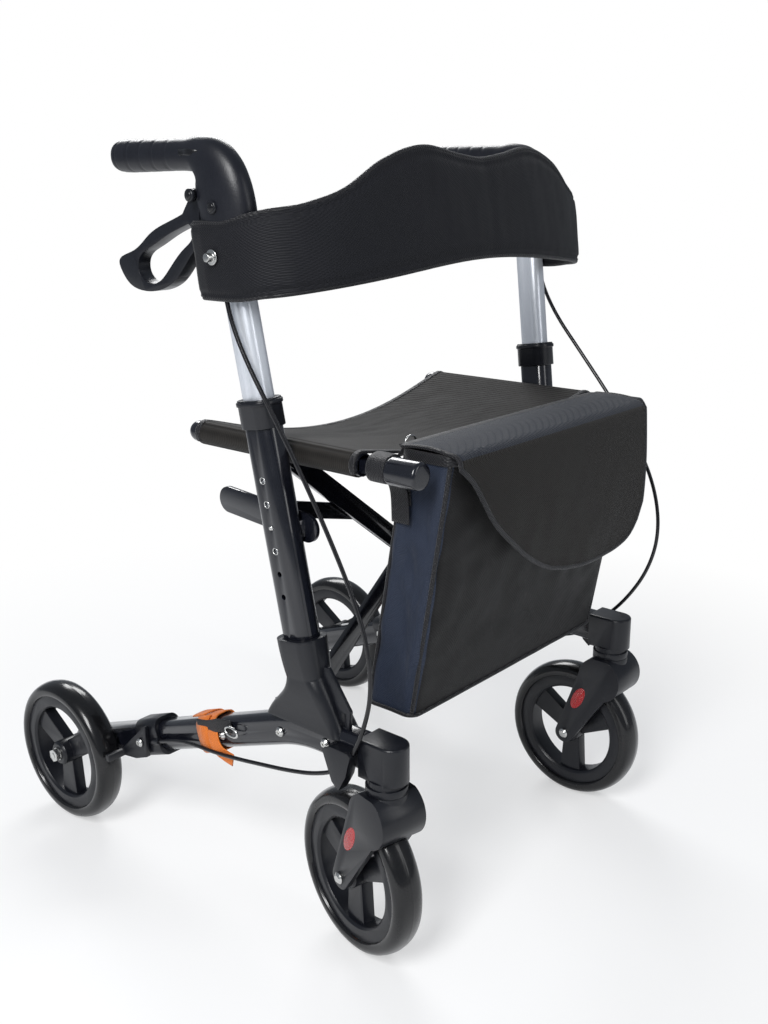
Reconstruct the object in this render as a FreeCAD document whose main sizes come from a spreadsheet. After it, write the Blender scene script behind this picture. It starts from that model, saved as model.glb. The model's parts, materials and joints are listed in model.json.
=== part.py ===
import FreeCAD, Part
import math
import os
import re

import Sketcher

V = FreeCAD.Vector

# Folding four-wheel rollator walker.  Millimetres.  +Z is up and the ground is z = 0,
# the walker rolls towards -Y, and its right side (seen by the person walking) is -X.
# The origin is on the ground under the middle of the whole walker.

doc = FreeCAD.newDocument("rollator")
sheet = doc.addObject("Spreadsheet::Sheet", "Sizes")

SIZES = [
    # alias, value, meaning
    ("wheel_radius", 100.0, "outside radius of all four tyres"),
    ("tyre_width", 38.0, "width of a tyre"),
    ("rim_radius", 78.0, "radius of the tyre's seat on the rim"),
    ("rim_lip", 4.0, "how far the rim's side lips stand over the seat"),
    ("rim_depth", 13.0, "seat radius less inside radius of the rim"),
    ("rim_width", 31.0, "width of the rim over its lips"),
    ("hub_radius", 17.0, "outside radius of the hub"),
    ("hub_width", 43.0, "length of the hub"),
    ("spoke_width", 33.0, "width of each of the three spokes"),
    ("spoke_depth", 16.0, "thickness of a spoke along the axle"),
    ("axle_radius", 4.0, "wheel axle bolts"),
    ("running_gap", 0.05, "radial clearance of every turning fit"),
    ("rear_axle_x", 278.6, "rear wheel centre, sideways"),
    ("rear_axle_y", 260.5, "rear wheel centre, from the origin"),
    ("caster_x", 240.0, "caster swivel axis, sideways"),
    ("caster_y", -298.6, "caster swivel axis"),
    ("caster_trail", 52.0, "front axle behind the swivel axis"),
    ("right_caster_yaw", 12.0, "how far the right caster is turned at rest"),
    ("swivel_z", 228.0, "underside of the caster bearing"),
    ("bearing_radius", 24.0, "larger ring of the caster bearing"),
    ("stem_radius", 8.0, "swivel stem of the fork"),
    ("fork_wall", 8.0, "thickness of a fork arm"),
    ("fork_gap", 3.0, "tyre side to fork arm"),
    ("crown_radius", 32.0, "bulge of the fork crown"),
    ("beam_x", 240.0, "middle of a side beam, sideways"),
    ("beam_width", 32.0, "side beam section, sideways"),
    ("beam_height", 40.0, "side beam section, upright"),
    ("beam_wall", 2.5, "wall of the side beam tube"),
    ("beam_front_z", 265.0, "middle height of the level front of the beam"),
    ("beam_front_y", -285.0, "front end of the beam tube"),
    ("beam_slope", 20.8, "fall of the rear of the beam, degrees"),
    ("beam_bend", 200.0, "radius of the beam's bend"),
    ("post_x", 243.6, "post axis at post_z, sideways"),
    ("post_y", -192.5, "post axis at post_z"),
    ("post_z", 300.0, "height at which the post is placed"),
    ("post_splay", 3.19, "post leaning outwards, degrees"),
    ("post_lean", 8.38, "post leaning rearwards, degrees"),
    ("post_width", 32.0, "outer post section, sideways"),
    ("post_depth", 42.0, "outer post section, fore and aft"),
    ("post_wall", 3.0, "wall of the outer post"),
    ("post_low", -8.0, "lower end of the post, along its axis"),
    ("post_top", 350.0, "upper end of the post, along its axis"),
    ("slide_gap", 0.5, "outer post to upper tube, each side"),
    ("tube_wall", 2.0, "wall of the upper tube"),
    ("tube_low", 173.0, "lower end of the upper tube at rest"),
    ("tube_top", 562.0, "upper end of the upper tube at rest"),
    ("hole_pitch", 26.5, "height holes, apart"),
    ("hole_radius", 3.2, "height holes"),
    ("button_at", 212.6, "height button, along the post"),
    ("holes_above", 2.0, "free height holes over the button"),
    ("holes_below", 3.0, "free height holes under the button"),
    ("collar_height", 31.0, "collar on the post's mouth"),
    ("collar_wall", 3.2, "wall of the collar round the post"),
    ("handle_axis_x", 277.0, "middle of the grip, sideways"),
    ("grip_z", 898.0, "middle height of the grip"),
    ("grip_radius", 17.0, "grip"),
    ("grip_rear_y", 58.0, "rear tip of the grip"),
    ("bend_y", -70.0, "where the grip's bend ends"),
    ("bend_radius", 38.0, "handle bend, at its middle line"),
    ("neck_width", 37.0, "handle neck, sideways"),
    ("neck_depth", 48.0, "handle neck, fore and aft"),
    ("neck_low", 487.0, "lower end of the handle neck, along the post"),
    ("lever_pivot_y", -79.0, "brake lever pivot"),
    ("lever_pivot_z", 857.0, "brake lever pivot"),
    ("lever_width", 17.0, "width of the lever's loop"),
    ("lever_band", 8.0, "thickness of the lever's loop"),
    ("socket_wall", 5.5, "plastic socket round the post"),
    ("socket_top", 82.0, "rim of the base socket, along the post"),
    ("rail_x", 221.6, "seat rail, sideways"),
    ("rail_z", 585.0, "seat rail, height"),
    ("rail_radius", 12.5, "seat rail tube"),
    ("rail_rear_y", 8.0, "rear end of the seat rail"),
    ("rail_front_y", -254.0, "front end of the seat rail tube"),
    ("hook_front_y", -333.0, "front end of the bag hook on the rail"),
    ("hook_radius", 15.0, "round end of the bag hook"),
    ("hook_bar", 14.0, "square bar of the bag hook"),
    ("pivot_x", 200.0, "cross bar pivots, sideways"),
    ("pivot_low_z", 258.0, "lower cross bar pivots"),
    ("pivot_top_z", 567.0, "upper cross bar pivots"),
    ("bar_height", 24.0, "cross bar section, upright"),
    ("bar_depth", 8.0, "cross bar section, fore and aft"),
    ("bar_y", -126.0, "middle plane between the two cross bars"),
    ("bar_gap", 2.0, "between neighbouring flat bars"),
    ("pin_radius", 4.0, "pivot pins of the cross bars"),
    ("link_x", 222.0, "side link pivot, sideways"),
    ("link_z", 511.0, "side link pivot, height"),
    ("link_reach", 149.3, "link bolt from the top pivot, along the bar"),
    ("link_height", 20.0, "side link section, upright"),
    ("link_depth", 5.0, "side link section, fore and aft"),
    ("bag_half", 192.0, "half width of the bag"),
    ("bag_top_z", 600.0, "rim of the bag"),
    ("bag_low_z", 290.0, "bottom of the bag"),
    ("bag_front_top", -347.0, "front of the bag at its rim"),
    ("bag_back_top", -279.0, "back of the bag at its rim"),
    ("bag_front_low", -293.0, "front of the bag at its bottom"),
    ("bag_back_low", -222.0, "back of the bag at its bottom"),
    ("bag_wall", 3.0, "bag side, lining and all"),
    ("flap_front", -360.5, "outside of the hanging flap"),
    ("flap_low_z", 430.0, "lowest edge of the flap"),
    ("flap_wall", 3.0, "flap thickness"),
    ("seat_sag", 36.0, "how far the seat sling hangs down in the middle"),
    ("seat_cloth", 2.2, "thickness of the seat sling"),
    ("soft_gap", 0.3, "cloth to the parts that it hangs on"),
    ("band_half", 296.0, "half width of the backrest band at its middle line"),
    ("band_bulge", 140.0, "backrest band in front of the posts"),
    ("band_wall", 5.0, "thickness of the backrest band"),
    ("band_back_y", -84.0, "rear edge of the band beside the post"),
    ("cable_radius", 2.5, "brake cable"),
    ("bolt_radius", 3.0, "frame bolts"),
    ("bolt_head", 6.0, "radius of a frame bolt's head"),
]
for row, (alias, value, meaning) in enumerate(SIZES, start=1):
    sheet.set("A%d" % row, meaning)
    sheet.set("B%d" % row, "%g" % value)
    sheet.setAlias("B%d" % row, alias)
doc.recompute()


def size(alias):
    return float(sheet.get(alias))


parts = []          # the document objects that are the walker's sub-parts


def keep(obj, label):
    """Register a finished sub-part under the name of its node."""
    obj.Label = label
    parts.append(obj)
    return obj


def on_sheet(formula):
    """A formula in plain aliases, as other objects of the document must write it."""
    return re.sub(r"[a-z_]+", lambda word: "Sizes." + word.group(0), formula)


def value_of(formula):
    """The number that a formula in plain aliases gives."""
    return float(sheet.evalExpression(formula))


def bind(obj, **formulas):
    """Bind properties of a document object to formulas on the sheet's cells."""
    for prop, formula in formulas.items():
        obj.setExpression(prop, on_sheet(formula))
    return obj


def feature(shape, label, place=None):
    """A sub-part whose shape is worked out here from the sheet's sizes."""
    obj = doc.addObject("Part::Feature", label)
    obj.Shape = shape
    if place is not None:
        obj.Placement = place.multiply(shape.Placement)
    return keep(obj, label)


def mirrored(source, label):
    """The left-hand twin of a right-hand sub-part."""
    twin = doc.addObject("Part::Mirroring", label)
    twin.Source = source
    twin.Normal = V(1, 0, 0)
    return keep(twin, label)


def plane_of(body, role):
    for origin_object in body.Origin.OriginFeatures:
        if origin_object.Role == role:
            return origin_object
    raise ValueError(role)


def sketch_on(body, role, name):
    sketch = body.newObject("Sketcher::SketchObject", name)
    sketch.AttachmentSupport = [(plane_of(body, role), "")]
    sketch.MapMode = "FlatFace"
    return sketch


def dimension(sketch, kind, geometry, formula):
    """One sketch dimension bound to a formula on the sheet."""
    index = sketch.addConstraint(Sketcher.Constraint(kind, *geometry, value_of(formula)))
    sketch.setExpression("Constraints[%d]" % index, on_sheet(formula))


def polygon_sketch(sketch, corners):
    """A closed outline whose corners are pairs of formulas."""
    points = [V(value_of(a), value_of(b), 0) for a, b in corners]
    count = len(points)
    for i in range(count):
        sketch.addGeometry(Part.LineSegment(points[i], points[(i + 1) % count]), False)
    for i in range(count):
        sketch.addConstraint(Sketcher.Constraint("Coincident", i, 2, (i + 1) % count, 1))
    for i, (a, b) in enumerate(corners):
        place_corner(sketch, i, a, b)


def place_corner(sketch, i, a, b):
    """Fix corner i of an outline: horizontal and vertical distance from the origin."""
    dimension(sketch, "DistanceX", (-1, 1, i, 1), a)
    dimension(sketch, "DistanceY", (-1, 1, i, 1), b)


def turned(body, role, corners, name):
    """A ring or disc about the body's Z axis from an outline on its XZ plane."""
    sketch = sketch_on(body, role, name + "_outline")
    polygon_sketch(sketch, corners)
    ring = body.newObject("PartDesign::Revolution", name)
    ring.Profile = sketch
    ring.ReferenceAxis = (sketch, ["V_Axis"])
    ring.Angle = 360.0
    return ring


# ---------------------------------------------------------------- wheels

def wheel_place(x, y, z, yaw=0.0):
    """Wheel pieces are made about Z; this lays the axle along X, then turns by yaw."""
    lay_down = FreeCAD.Rotation(V(0, 1, 0), 90)
    turn = FreeCAD.Rotation(V(0, 0, 1), yaw)
    return FreeCAD.Placement(V(x, y, z), turn.multiply(lay_down))


def make_rim(label, place):
    body = doc.addObject("PartDesign::Body", label)
    turned(body, "XZ_Plane", [
        ("rim_radius - rim_depth", "-rim_width / 2 + 3"),
        ("rim_radius - rim_depth + 3", "-rim_width / 2"),
        ("rim_radius + rim_lip", "-rim_width / 2"),
        ("rim_radius + rim_lip", "-rim_width / 2 + 3"),
        ("rim_radius", "-rim_width / 2 + 5"),
        ("rim_radius", "rim_width / 2 - 5"),
        ("rim_radius + rim_lip", "rim_width / 2 - 3"),
        ("rim_radius + rim_lip", "rim_width / 2"),
        ("rim_radius - rim_depth + 3", "rim_width / 2"),
        ("rim_radius - rim_depth", "rim_width / 2 - 3"),
    ], label + "_ring")
    turned(body, "XZ_Plane", [
        ("axle_radius + running_gap", "-hub_width / 2"),
        ("hub_radius - 3", "-hub_width / 2"),
        ("hub_radius", "-hub_width / 2 + 3"),
        ("hub_radius", "hub_width / 2 - 3"),
        ("hub_radius - 3", "hub_width / 2"),
        ("axle_radius + running_gap", "hub_width / 2"),
    ], label + "_hub")
    sketch = sketch_on(body, "XY_Plane", label + "_spoke_outline")
    polygon_sketch(sketch, [
        ("hub_radius - 5", "-spoke_width / 2 + 4"),
        ("rim_radius - rim_depth + 4", "-spoke_width / 2"),
        ("rim_radius - rim_depth + 4", "spoke_width / 2"),
        ("hub_radius - 5", "spoke_width / 2 - 4"),
    ])
    spoke = body.newObject("PartDesign::Pad", label + "_spoke")
    spoke.Profile = sketch
    spoke.Midplane = True
    bind(spoke, Length="spoke_depth")
    doc.recompute()
    pattern = body.newObject("PartDesign::PolarPattern", label + "_spokes")
    pattern.Originals = [spoke]
    pattern.Axis = (sketch, ["N_Axis"])
    pattern.Angle = 360.0
    pattern.Occurrences = 3
    body.Tip = pattern
    doc.recompute()
    body.Placement = place
    return keep(body, label)


def make_tyre(label, place):
    body = doc.addObject("PartDesign::Body", label)
    sketch = sketch_on(body, "XZ_Plane", label + "_outline")
    seat = value_of("rim_radius")
    lip = value_of("rim_radius + rim_lip")
    half = value_of("tyre_width / 2")
    half_rim = value_of("rim_width / 2")
    shoulder = size("wheel_radius") - 9
    points = [
        V(seat, half_rim - 5, 0), V(seat, 5 - half_rim, 0), V(lip, 3 - half_rim, 0),
        V(lip, -half_rim, 0), V(lip, -half, 0), V(shoulder, -half, 0),
    ]
    crown = V(size("wheel_radius"), 0, 0)
    outline = [Part.LineSegment(points[i], points[i + 1]) for i in range(len(points) - 1)]
    outline.append(Part.Arc(points[-1], crown, V(shoulder, half, 0)))
    upper = [V(p.x, -p.y, 0) for p in reversed(points[1:])]
    outline += [Part.LineSegment(upper[i], upper[i + 1]) for i in range(len(upper) - 1)]
    for line in outline:
        sketch.addGeometry(line, False)
    for i in range(len(outline)):
        sketch.addConstraint(Sketcher.Constraint("Block", i))
    ring = body.newObject("PartDesign::Revolution", label + "_ring")
    ring.Profile = sketch
    ring.ReferenceAxis = (sketch, ["V_Axis"])
    ring.Angle = 360.0
    body.Tip = ring
    doc.recompute()
    body.Placement = place
    return keep(body, label)


def hexagon(across, height):
    corner = across / math.sqrt(3)
    points = [V(corner * math.cos(math.radians(60 * i)), corner * math.sin(math.radians(60 * i)), 0)
              for i in range(7)]
    return Part.Face(Part.makePolygon(points)).extrude(V(0, 0, height))


def axle_bolt(radius, low, high, head, nut):
    """A bolt along Z: shank from low to high, domed head below, nylon nut above."""
    shank = Part.makeCylinder(radius, high - low + nut, V(0, 0, low))
    flange = Part.makeCylinder(head, 2.0, V(0, 0, low - 2.0))
    dome = Part.makeCone(head, head * 0.6, 2.5, V(0, 0, low - 2.0), V(0, 0, -1))
    washer = Part.makeCylinder(head + 1.0, 1.2, V(0, 0, high))
    hex_nut = hexagon(2 * head, nut - 2.2)
    hex_nut.translate(V(0, 0, high + 1.2))
    return shank.fuse([flange, dome, washer, hex_nut])


right_rim = make_rim("right_rear_rim", wheel_place(
    -size("rear_axle_x"), size("rear_axle_y"), size("wheel_radius")))
right_tyre = make_tyre("right_rear_tyre", right_rim.Placement)
mirrored(right_rim, "left_rear_rim")
mirrored(right_tyre, "left_rear_tyre")

# ---------------------------------------------------------------- side beams

def rounded_box_wire(width, depth, corner):
    """A rounded rectangle about the origin of the XY plane."""
    a = width / 2 - corner
    b = depth / 2 - corner
    k = corner * math.sqrt(0.5)
    edges = []
    for sx, sy in ((1, 1), (-1, 1), (-1, -1), (1, -1)):
        start = V(sx * width / 2, sy * b, 0) if sx * sy > 0 else V(sx * a, sy * depth / 2, 0)
        middle = V(sx * (a + k), sy * (b + k), 0)
        end = V(sx * a, sy * depth / 2, 0) if sx * sy > 0 else V(sx * width / 2, sy * b, 0)
        edges.append(Part.Arc(start, middle, end).toShape())
    corners = []
    for i, edge in enumerate(edges):
        following = edges[(i + 1) % 4]
        corners.append(edge)
        corners.append(Part.LineSegment(edge.Vertexes[-1].Point, following.Vertexes[0].Point).toShape())
    return Part.Wire(Part.__sortEdges__(corners))


def beam_line():
    """The beam's middle line: level front, bend, and the straight fall to the rear axle."""
    slope = math.radians(size("beam_slope"))
    rear = V(-size("beam_x"), size("rear_axle_y"), size("wheel_radius"))
    fall = V(0, -math.cos(slope), math.sin(slope))
    rise = size("beam_front_z") - rear.z
    corner = rear + fall * (rise / math.sin(slope))
    reach = size("beam_bend") * math.tan(slope / 2)
    bend_rear = corner - fall * reach
    bend_front = corner + V(0, -reach, 0)
    centre = bend_front - V(0, 0, size("beam_bend"))
    half = slope / 2
    bend_middle = centre + V(0, math.sin(half), math.cos(half)) * size("beam_bend")
    return rear, bend_rear, bend_middle, bend_front


REAR_END, BEND_REAR, BEND_MIDDLE, BEND_FRONT = beam_line()
SLOPE = math.radians(size("beam_slope"))


def beam_at(y):
    """Middle height of the beam at y."""
    if y > BEND_REAR.y:
        return REAR_END.z + math.tan(SLOPE) * (REAR_END.y - y)
    if y < BEND_FRONT.y:
        return BEND_FRONT.z
    radius = size("beam_bend")
    return BEND_FRONT.z - radius + math.sqrt(radius ** 2 - (y - BEND_FRONT.y) ** 2)


def beam_sweep(width, height, corner, front_y, rear_extra):
    """The beam's outline as a closed solid between front_y and past its rear end."""
    tail = REAR_END + (REAR_END - BEND_REAR).normalize() * rear_extra
    path = Part.Wire([
        Part.LineSegment(V(BEND_FRONT.x, front_y, BEND_FRONT.z), BEND_FRONT).toShape(),
        Part.Arc(BEND_FRONT, BEND_MIDDLE, BEND_REAR).toShape(),
        Part.LineSegment(BEND_REAR, tail).toShape(),
    ])
    section = rounded_box_wire(width, height, corner)
    section.rotate(V(0, 0, 0), V(1, 0, 0), 90)
    section.translate(V(BEND_FRONT.x, front_y, BEND_FRONT.z))
    return path.makePipeShell([section], True, False)


def side_bolt(y, z, outer, inner, radius):
    """A frame bolt along X with a socket-head outside and a nut inside."""
    shank = Part.makeCylinder(radius, outer - inner + 6, V(-outer, y, z), V(1, 0, 0))
    head = Part.makeCylinder(size("bolt_head"), 1.5, V(-outer, y, z), V(-1, 0, 0))
    dome = Part.makeCone(size("bolt_head"), 3.5, 2.5, V(-outer - 1.5, y, z), V(-1, 0, 0))
    key = hexagon(3.5, 3.0)
    key.rotate(V(0, 0, 0), V(0, 1, 0), -90)
    key.translate(V(-outer - 1.5, y, z))
    nut = hexagon(2 * size("bolt_head"), 4.5)
    nut.rotate(V(0, 0, 0), V(0, 1, 0), 90)
    nut.translate(V(-inner, y, z))
    return shank.fuse([head, dome, nut]).cut(key)


BEAM_OUTER = size("beam_x") + size("beam_width") / 2
BEAM_INNER = size("beam_x") - size("beam_width") / 2
beam_solid = beam_sweep(size("beam_width"), size("beam_height"), 11.0, size("beam_front_y"), 16.0)
beam_core = beam_sweep(
    size("beam_width") - 2 * size("beam_wall"), size("beam_height") - 2 * size("beam_wall"),
    11.0 - size("beam_wall"), size("beam_front_y") - 1, 17.0)
bolt_ys = [-44.0, -148.0, -221.0]
frame_bolts = [side_bolt(y, beam_at(y) - 1.0, BEAM_OUTER, BEAM_INNER, size("bolt_radius")) for y in bolt_ys]
bolt_holes = [Part.makeCylinder(size("bolt_radius") + 0.1, size("beam_width") + 4,
                                V(-BEAM_OUTER - 2, y, beam_at(y) - 1.0), V(1, 0, 0)) for y in bolt_ys]
axle_hole = Part.makeCylinder(size("axle_radius") + 0.1, size("beam_width") + 4,
                              V(-BEAM_OUTER - 2, size("rear_axle_y"), size("wheel_radius")), V(1, 0, 0))
beam_shell = beam_solid.cut(beam_core).cut(Part.makeCompound(bolt_holes + [axle_hole]))
right_beam = feature(beam_shell, "right_beam")
mirrored(right_beam, "left_beam")

NUT = 9.0
rear_axle = axle_bolt(size("axle_radius"), 0, size("rear_axle_x") + size("hub_width") / 2 + 0.5 - BEAM_INNER,
                      8.0, NUT)
rear_axle.rotate(V(0, 0, 0), V(0, 1, 0), -90)
rear_axle.translate(V(-BEAM_INNER, size("rear_axle_y"), size("wheel_radius")))
spacer_length = size("rear_axle_x") - size("hub_width") / 2 - BEAM_OUTER - 0.5
spacer = Part.makeCylinder(8.0, spacer_length, V(-BEAM_OUTER, size("rear_axle_y"), size("wheel_radius")), V(-1, 0, 0))
right_axle = feature(rear_axle.fuse(spacer), "right_rear_axle")
mirrored(right_axle, "left_rear_axle")

# ---------------------------------------------------------------- posts

def post_frame():
    """Placement whose Z axis runs up the right post's axis, from the height post_z."""
    out = -math.tan(math.radians(size("post_splay")))
    back = math.tan(math.radians(size("post_lean")))
    along = V(out, back, 1).normalize()
    return FreeCAD.Placement(V(-size("post_x"), size("post_y"), size("post_z")), FreeCAD.Rotation(V(0, 0, 1), along))


POST = post_frame()


def prism(width, depth, corner, low, high):
    """A rounded-rectangle prism along the post's own Z axis."""
    section = Part.Face(rounded_box_wire(width, depth, corner))
    section.translate(V(0, 0, low))
    return section.extrude(V(0, 0, high - low))


POST_CORNER = 13.0
post_outer = prism(size("post_width"), size("post_depth"), POST_CORNER, size("post_low"), size("post_top"))
wall = size("post_wall")
post_bore = prism(size("post_width") - 2 * wall, size("post_depth") - 2 * wall, POST_CORNER - wall,
                  size("post_low") - 1, size("post_top") + 1)
hole_count = int(size("holes_above") + size("holes_below")) + 1
hole_places = [size("button_at") + (size("holes_above") - i) * size("hole_pitch") for i in range(hole_count)]
post_holes = [Part.makeCylinder(size("hole_radius"), size("post_width") / 2 + 5, V(0, 0, s), V(-1, 0, 0))
              for s in hole_places]
post_shell = post_outer.cut(post_bore).cut(Part.makeCompound(post_holes))
right_post = feature(post_shell, "right_post", POST)
mirrored(right_post, "left_post")

inset = wall + size("slide_gap")
tube_width = size("post_width") - 2 * inset
tube_depth = size("post_depth") - 2 * inset
tube_corner = POST_CORNER - inset
tube_outer = prism(tube_width, tube_depth, tube_corner, size("tube_low"), size("tube_top"))
tube_bore = prism(tube_width - 2 * size("tube_wall"), tube_depth - 2 * size("tube_wall"),
                  tube_corner - size("tube_wall"), size("tube_low") - 1, size("tube_top") + 1)
button_hole = size("hole_radius") + 0.4
tube_holes = [Part.makeCylinder(button_hole, tube_width, V(0, 0, s), V(-1, 0, 0))
              for s in (size("button_at"), size("button_at") + size("holes_below") * size("hole_pitch"))]
tube_shell = tube_outer.cut(tube_bore).cut(Part.makeCompound(tube_holes))

# Snap button that locks the height: it sits in the post's wall and is pressed inwards.
button_face = size("post_width") / 2
button = Part.makeCylinder(size("hole_radius") - 0.1, wall - 0.1, V(-button_face + wall - 0.1, 0, 0), V(-1, 0, 0))
button_dome = Part.makeCone(size("hole_radius") - 0.1, 1.8, 1.8, V(-button_face, 0, 0), V(-1, 0, 0))
button_solid = button.fuse(button_dome)
button_solid.translate(V(0, 0, size("button_at")))
right_button = feature(button_solid, "right_height_button", POST)
mirrored(right_button, "left_height_button")

collar_low = size("post_top") + 3.0 - size("collar_height")
collar_width = size("post_width") + 2 * size("collar_wall")
collar_depth = size("post_depth") + 2 * size("collar_wall")
collar_outer = prism(collar_width, collar_depth, POST_CORNER + size("collar_wall"), collar_low, size("post_top") + 3.0)
collar_lip = prism(collar_width + 3, collar_depth + 3, POST_CORNER + size("collar_wall") + 1.5,
                   size("post_top") - 3.5, size("post_top") + 1.0)
collar_bore = prism(tube_width + 2 * size("slide_gap"), tube_depth + 2 * size("slide_gap"),
                    tube_corner + size("slide_gap"), collar_low - 1, size("post_top") + 6)
collar = collar_outer.fuse(collar_lip).cut(Part.makeCompound([
    prism(size("post_width"), size("post_depth"), POST_CORNER, collar_low - 1, size("post_top")), collar_bore]))
right_collar = feature(collar, "right_post_collar", POST)
mirrored(right_collar, "left_post_collar")

# ---------------------------------------------------------------- base sockets

def rectangle_at(centre, width, depth, corner, tilt=0.0):
    """A level rounded rectangle round a point, tilted about X."""
    wire = rounded_box_wire(width, depth, corner)
    wire.rotate(V(0, 0, 0), V(1, 0, 0), tilt)
    wire.translate(centre)
    return wire


def on_post(s, x=0.0, y=0.0):
    """A point of the right post's own frame, s along its axis."""
    return POST.multVec(V(x, y, s))


socket_width = size("post_width") + 2 * size("socket_wall")
socket_depth = size("post_depth") + 2 * size("socket_wall")
foot_y = size("post_y") + 6.0
beam_top = size("beam_front_z") + size("beam_height") / 2
lean = size("post_lean")
sections = [
    rectangle_at(V(-size("beam_x"), foot_y, beam_top - 10), size("beam_width") + 9, 118, 9),
    rectangle_at(V(-size("beam_x"), foot_y, beam_top + 2), size("beam_width") + 9, 106, 12),
    rectangle_at(on_post(14), socket_width - 4, socket_depth + 18, 14, -lean / 2),
    rectangle_at(on_post(36), socket_width - 5, socket_depth - 2, 15, -lean),
]
socket_body = Part.makeLoft(sections, True, False)
socket_ring = Part.makeLoft([
    rectangle_at(on_post(34), socket_width - 5, socket_depth - 2, 15, -lean),
    rectangle_at(on_post(54), socket_width, socket_depth, 16, -lean),
    rectangle_at(on_post(size("socket_top")), socket_width + 2, socket_depth + 2, 17, -lean),
], True, False)
fin_x = -size("post_x") - 2.5
fin_outline = Part.makePolygon([
    V(fin_x, foot_y - 20, beam_top - 8), V(fin_x, foot_y - 62, beam_top - 4), V(fin_x, foot_y - 64, beam_top + 22),
    V(fin_x, foot_y - 32, beam_top + 66), V(fin_x, foot_y - 10, beam_top + 66), V(fin_x, foot_y - 20, beam_top - 8)])
fin = Part.Face(fin_outline).extrude(V(5, 0, 0))
fin_slot = Part.makeBox(9, 6, 16, V(fin_x - 2, foot_y - 57, beam_top + 2))
socket_bore = prism(size("post_width"), size("post_depth"), POST_CORNER, size("post_low"), size("socket_top") + 12)
socket_bore.Placement = POST
socket = socket_body.fuse([socket_ring, fin]).cut(fin_slot).cut(socket_bore).cut(beam_solid)
nut_pocket = Part.makeCylinder(size("bolt_head") + 2.5, 30, V(-BEAM_INNER, bolt_ys[1], beam_at(bolt_ys[1]) - 1.0),
                               V(1, 0, 0))
socket = max(socket.Solids, key=lambda solid: solid.Volume)
right_socket = feature(socket, "right_base_socket")
mirrored(right_socket, "left_base_socket")

# ---------------------------------------------------------------- handles

def ellipse_section(centre, normal, width, depth):
    """An oval across the handle: width along X, depth across the handle's run."""
    across = V(0, -normal.z, normal.y)
    if depth > width:
        oval = Part.Ellipse(V(0, 0, 0), depth / 2, width / 2).toShape()
        turn = FreeCAD.Rotation(across, V(-1, 0, 0), normal, "ZXY")
    elif depth < width:
        oval = Part.Ellipse(V(0, 0, 0), width / 2, depth / 2).toShape()
        turn = FreeCAD.Rotation(V(1, 0, 0), across, normal, "ZXY")
    else:
        oval = Part.Circle(V(0, 0, 0), V(0, 0, 1), width / 2).toShape()
        turn = FreeCAD.Rotation(V(1, 0, 0), across, normal, "ZXY")
    oval.Placement = FreeCAD.Placement(centre, turn)
    return Part.Wire([oval])


def handle_solid():
    up = POST.Rotation.multVec(V(0, 0, 1))
    up = V(0, up.y, up.z).normalize()
    grip = 2 * size("grip_radius")
    centre = V(-size("handle_axis_x"), size("bend_y"), size("grip_z") - size("bend_radius"))
    sections = [
        ellipse_section(on_post(size("neck_low")), up, size("neck_width"), size("neck_depth")),
        ellipse_section(on_post(size("neck_low") + 38), up, size("neck_width"), size("neck_depth")),
    ]
    steps = 4
    for i in range(steps + 1):
        share = i / steps
        angle = math.radians(180 - lean - (90 - lean) * share)
        point = centre + V(0, math.cos(angle), math.sin(angle)) * size("bend_radius")
        run = V(0, math.sin(angle), -math.cos(angle))
        width = size("neck_width") * (1 - share) + grip * share
        depth = size("neck_depth") * (1 - share) + grip * share
        sections.append(ellipse_section(point, run, width, depth))
    bend = Part.makeLoft(sections, True, False)
    grip_length = size("grip_rear_y") - size("grip_radius") - size("bend_y")
    start = V(-size("handle_axis_x"), size("bend_y"), size("grip_z"))
    bar = Part.makeCylinder(size("grip_radius"), grip_length, start, V(0, 1, 0))
    tip = Part.makeSphere(size("grip_radius"), start + V(0, grip_length, 0))
    return bend.fuse([bar, tip])


lever_pivot = V(-size("handle_axis_x"), size("lever_pivot_y"), size("lever_pivot_z"))
CABLE_TOP = V(-288.6, -122, 772)
tube_socket = prism(tube_width + 0.2, tube_depth + 0.2, tube_corner, size("neck_low") - 5, size("tube_top") + 0.2)
tube_socket.Placement = POST
lever_slot = Part.makeBox(size("lever_width") + 0.8, 47, 70, V(-size("handle_axis_x") - size("lever_width") / 2 - 0.4,
                          size("lever_pivot_y") - 18.5, size("lever_pivot_z") - 58))
ears = Part.makeCylinder(9.0, size("lever_width") + 9, lever_pivot - V((size("lever_width") + 9) / 2, 0, 0), V(1, 0, 0))
ear_web = Part.makeBox(size("lever_width") + 9, 14, 22, lever_pivot - V((size("lever_width") + 9) / 2, 12, 9))
pivot_hole = Part.makeCylinder(3.0, 60, lever_pivot - V(30, 0, 0), V(1, 0, 0))
stop_boss = Part.makeCylinder(4.0, 22, CABLE_TOP + V(0, 0, 1.0), V(0.05, 0.15, 1))
handle = handle_solid().fuse([ears, ear_web, stop_boss]).cut(lever_slot).cut(pivot_hole).cut(tube_socket)
slot_mark = Part.makeBox(3, 36, 6.5, V(-size("handle_axis_x") - size("grip_radius") - 1.0, size("bend_y") - 30,
                         size("grip_z") - 1))
handle = handle.cut(slot_mark)
handle = max(handle.Solids, key=lambda solid: solid.Volume)
right_handle = feature(handle, "right_handle")
mirrored(right_handle, "left_handle")
tube_world = tube_shell.copy()
tube_world.Placement = POST

# The backrest screw passes through the tube; its hole is cut here so both use one place.
screw_at = on_post(503)
screw_hole = Part.makeCylinder(3.1, 60, V(screw_at.x - 30, screw_at.y, screw_at.z), V(1, 0, 0))
right_tube = feature(tube_world.cut(screw_hole), "right_upper_tube")
mirrored(right_tube, "left_upper_tube")
right_handle.Shape = right_handle.Shape.cut(screw_hole)

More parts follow.
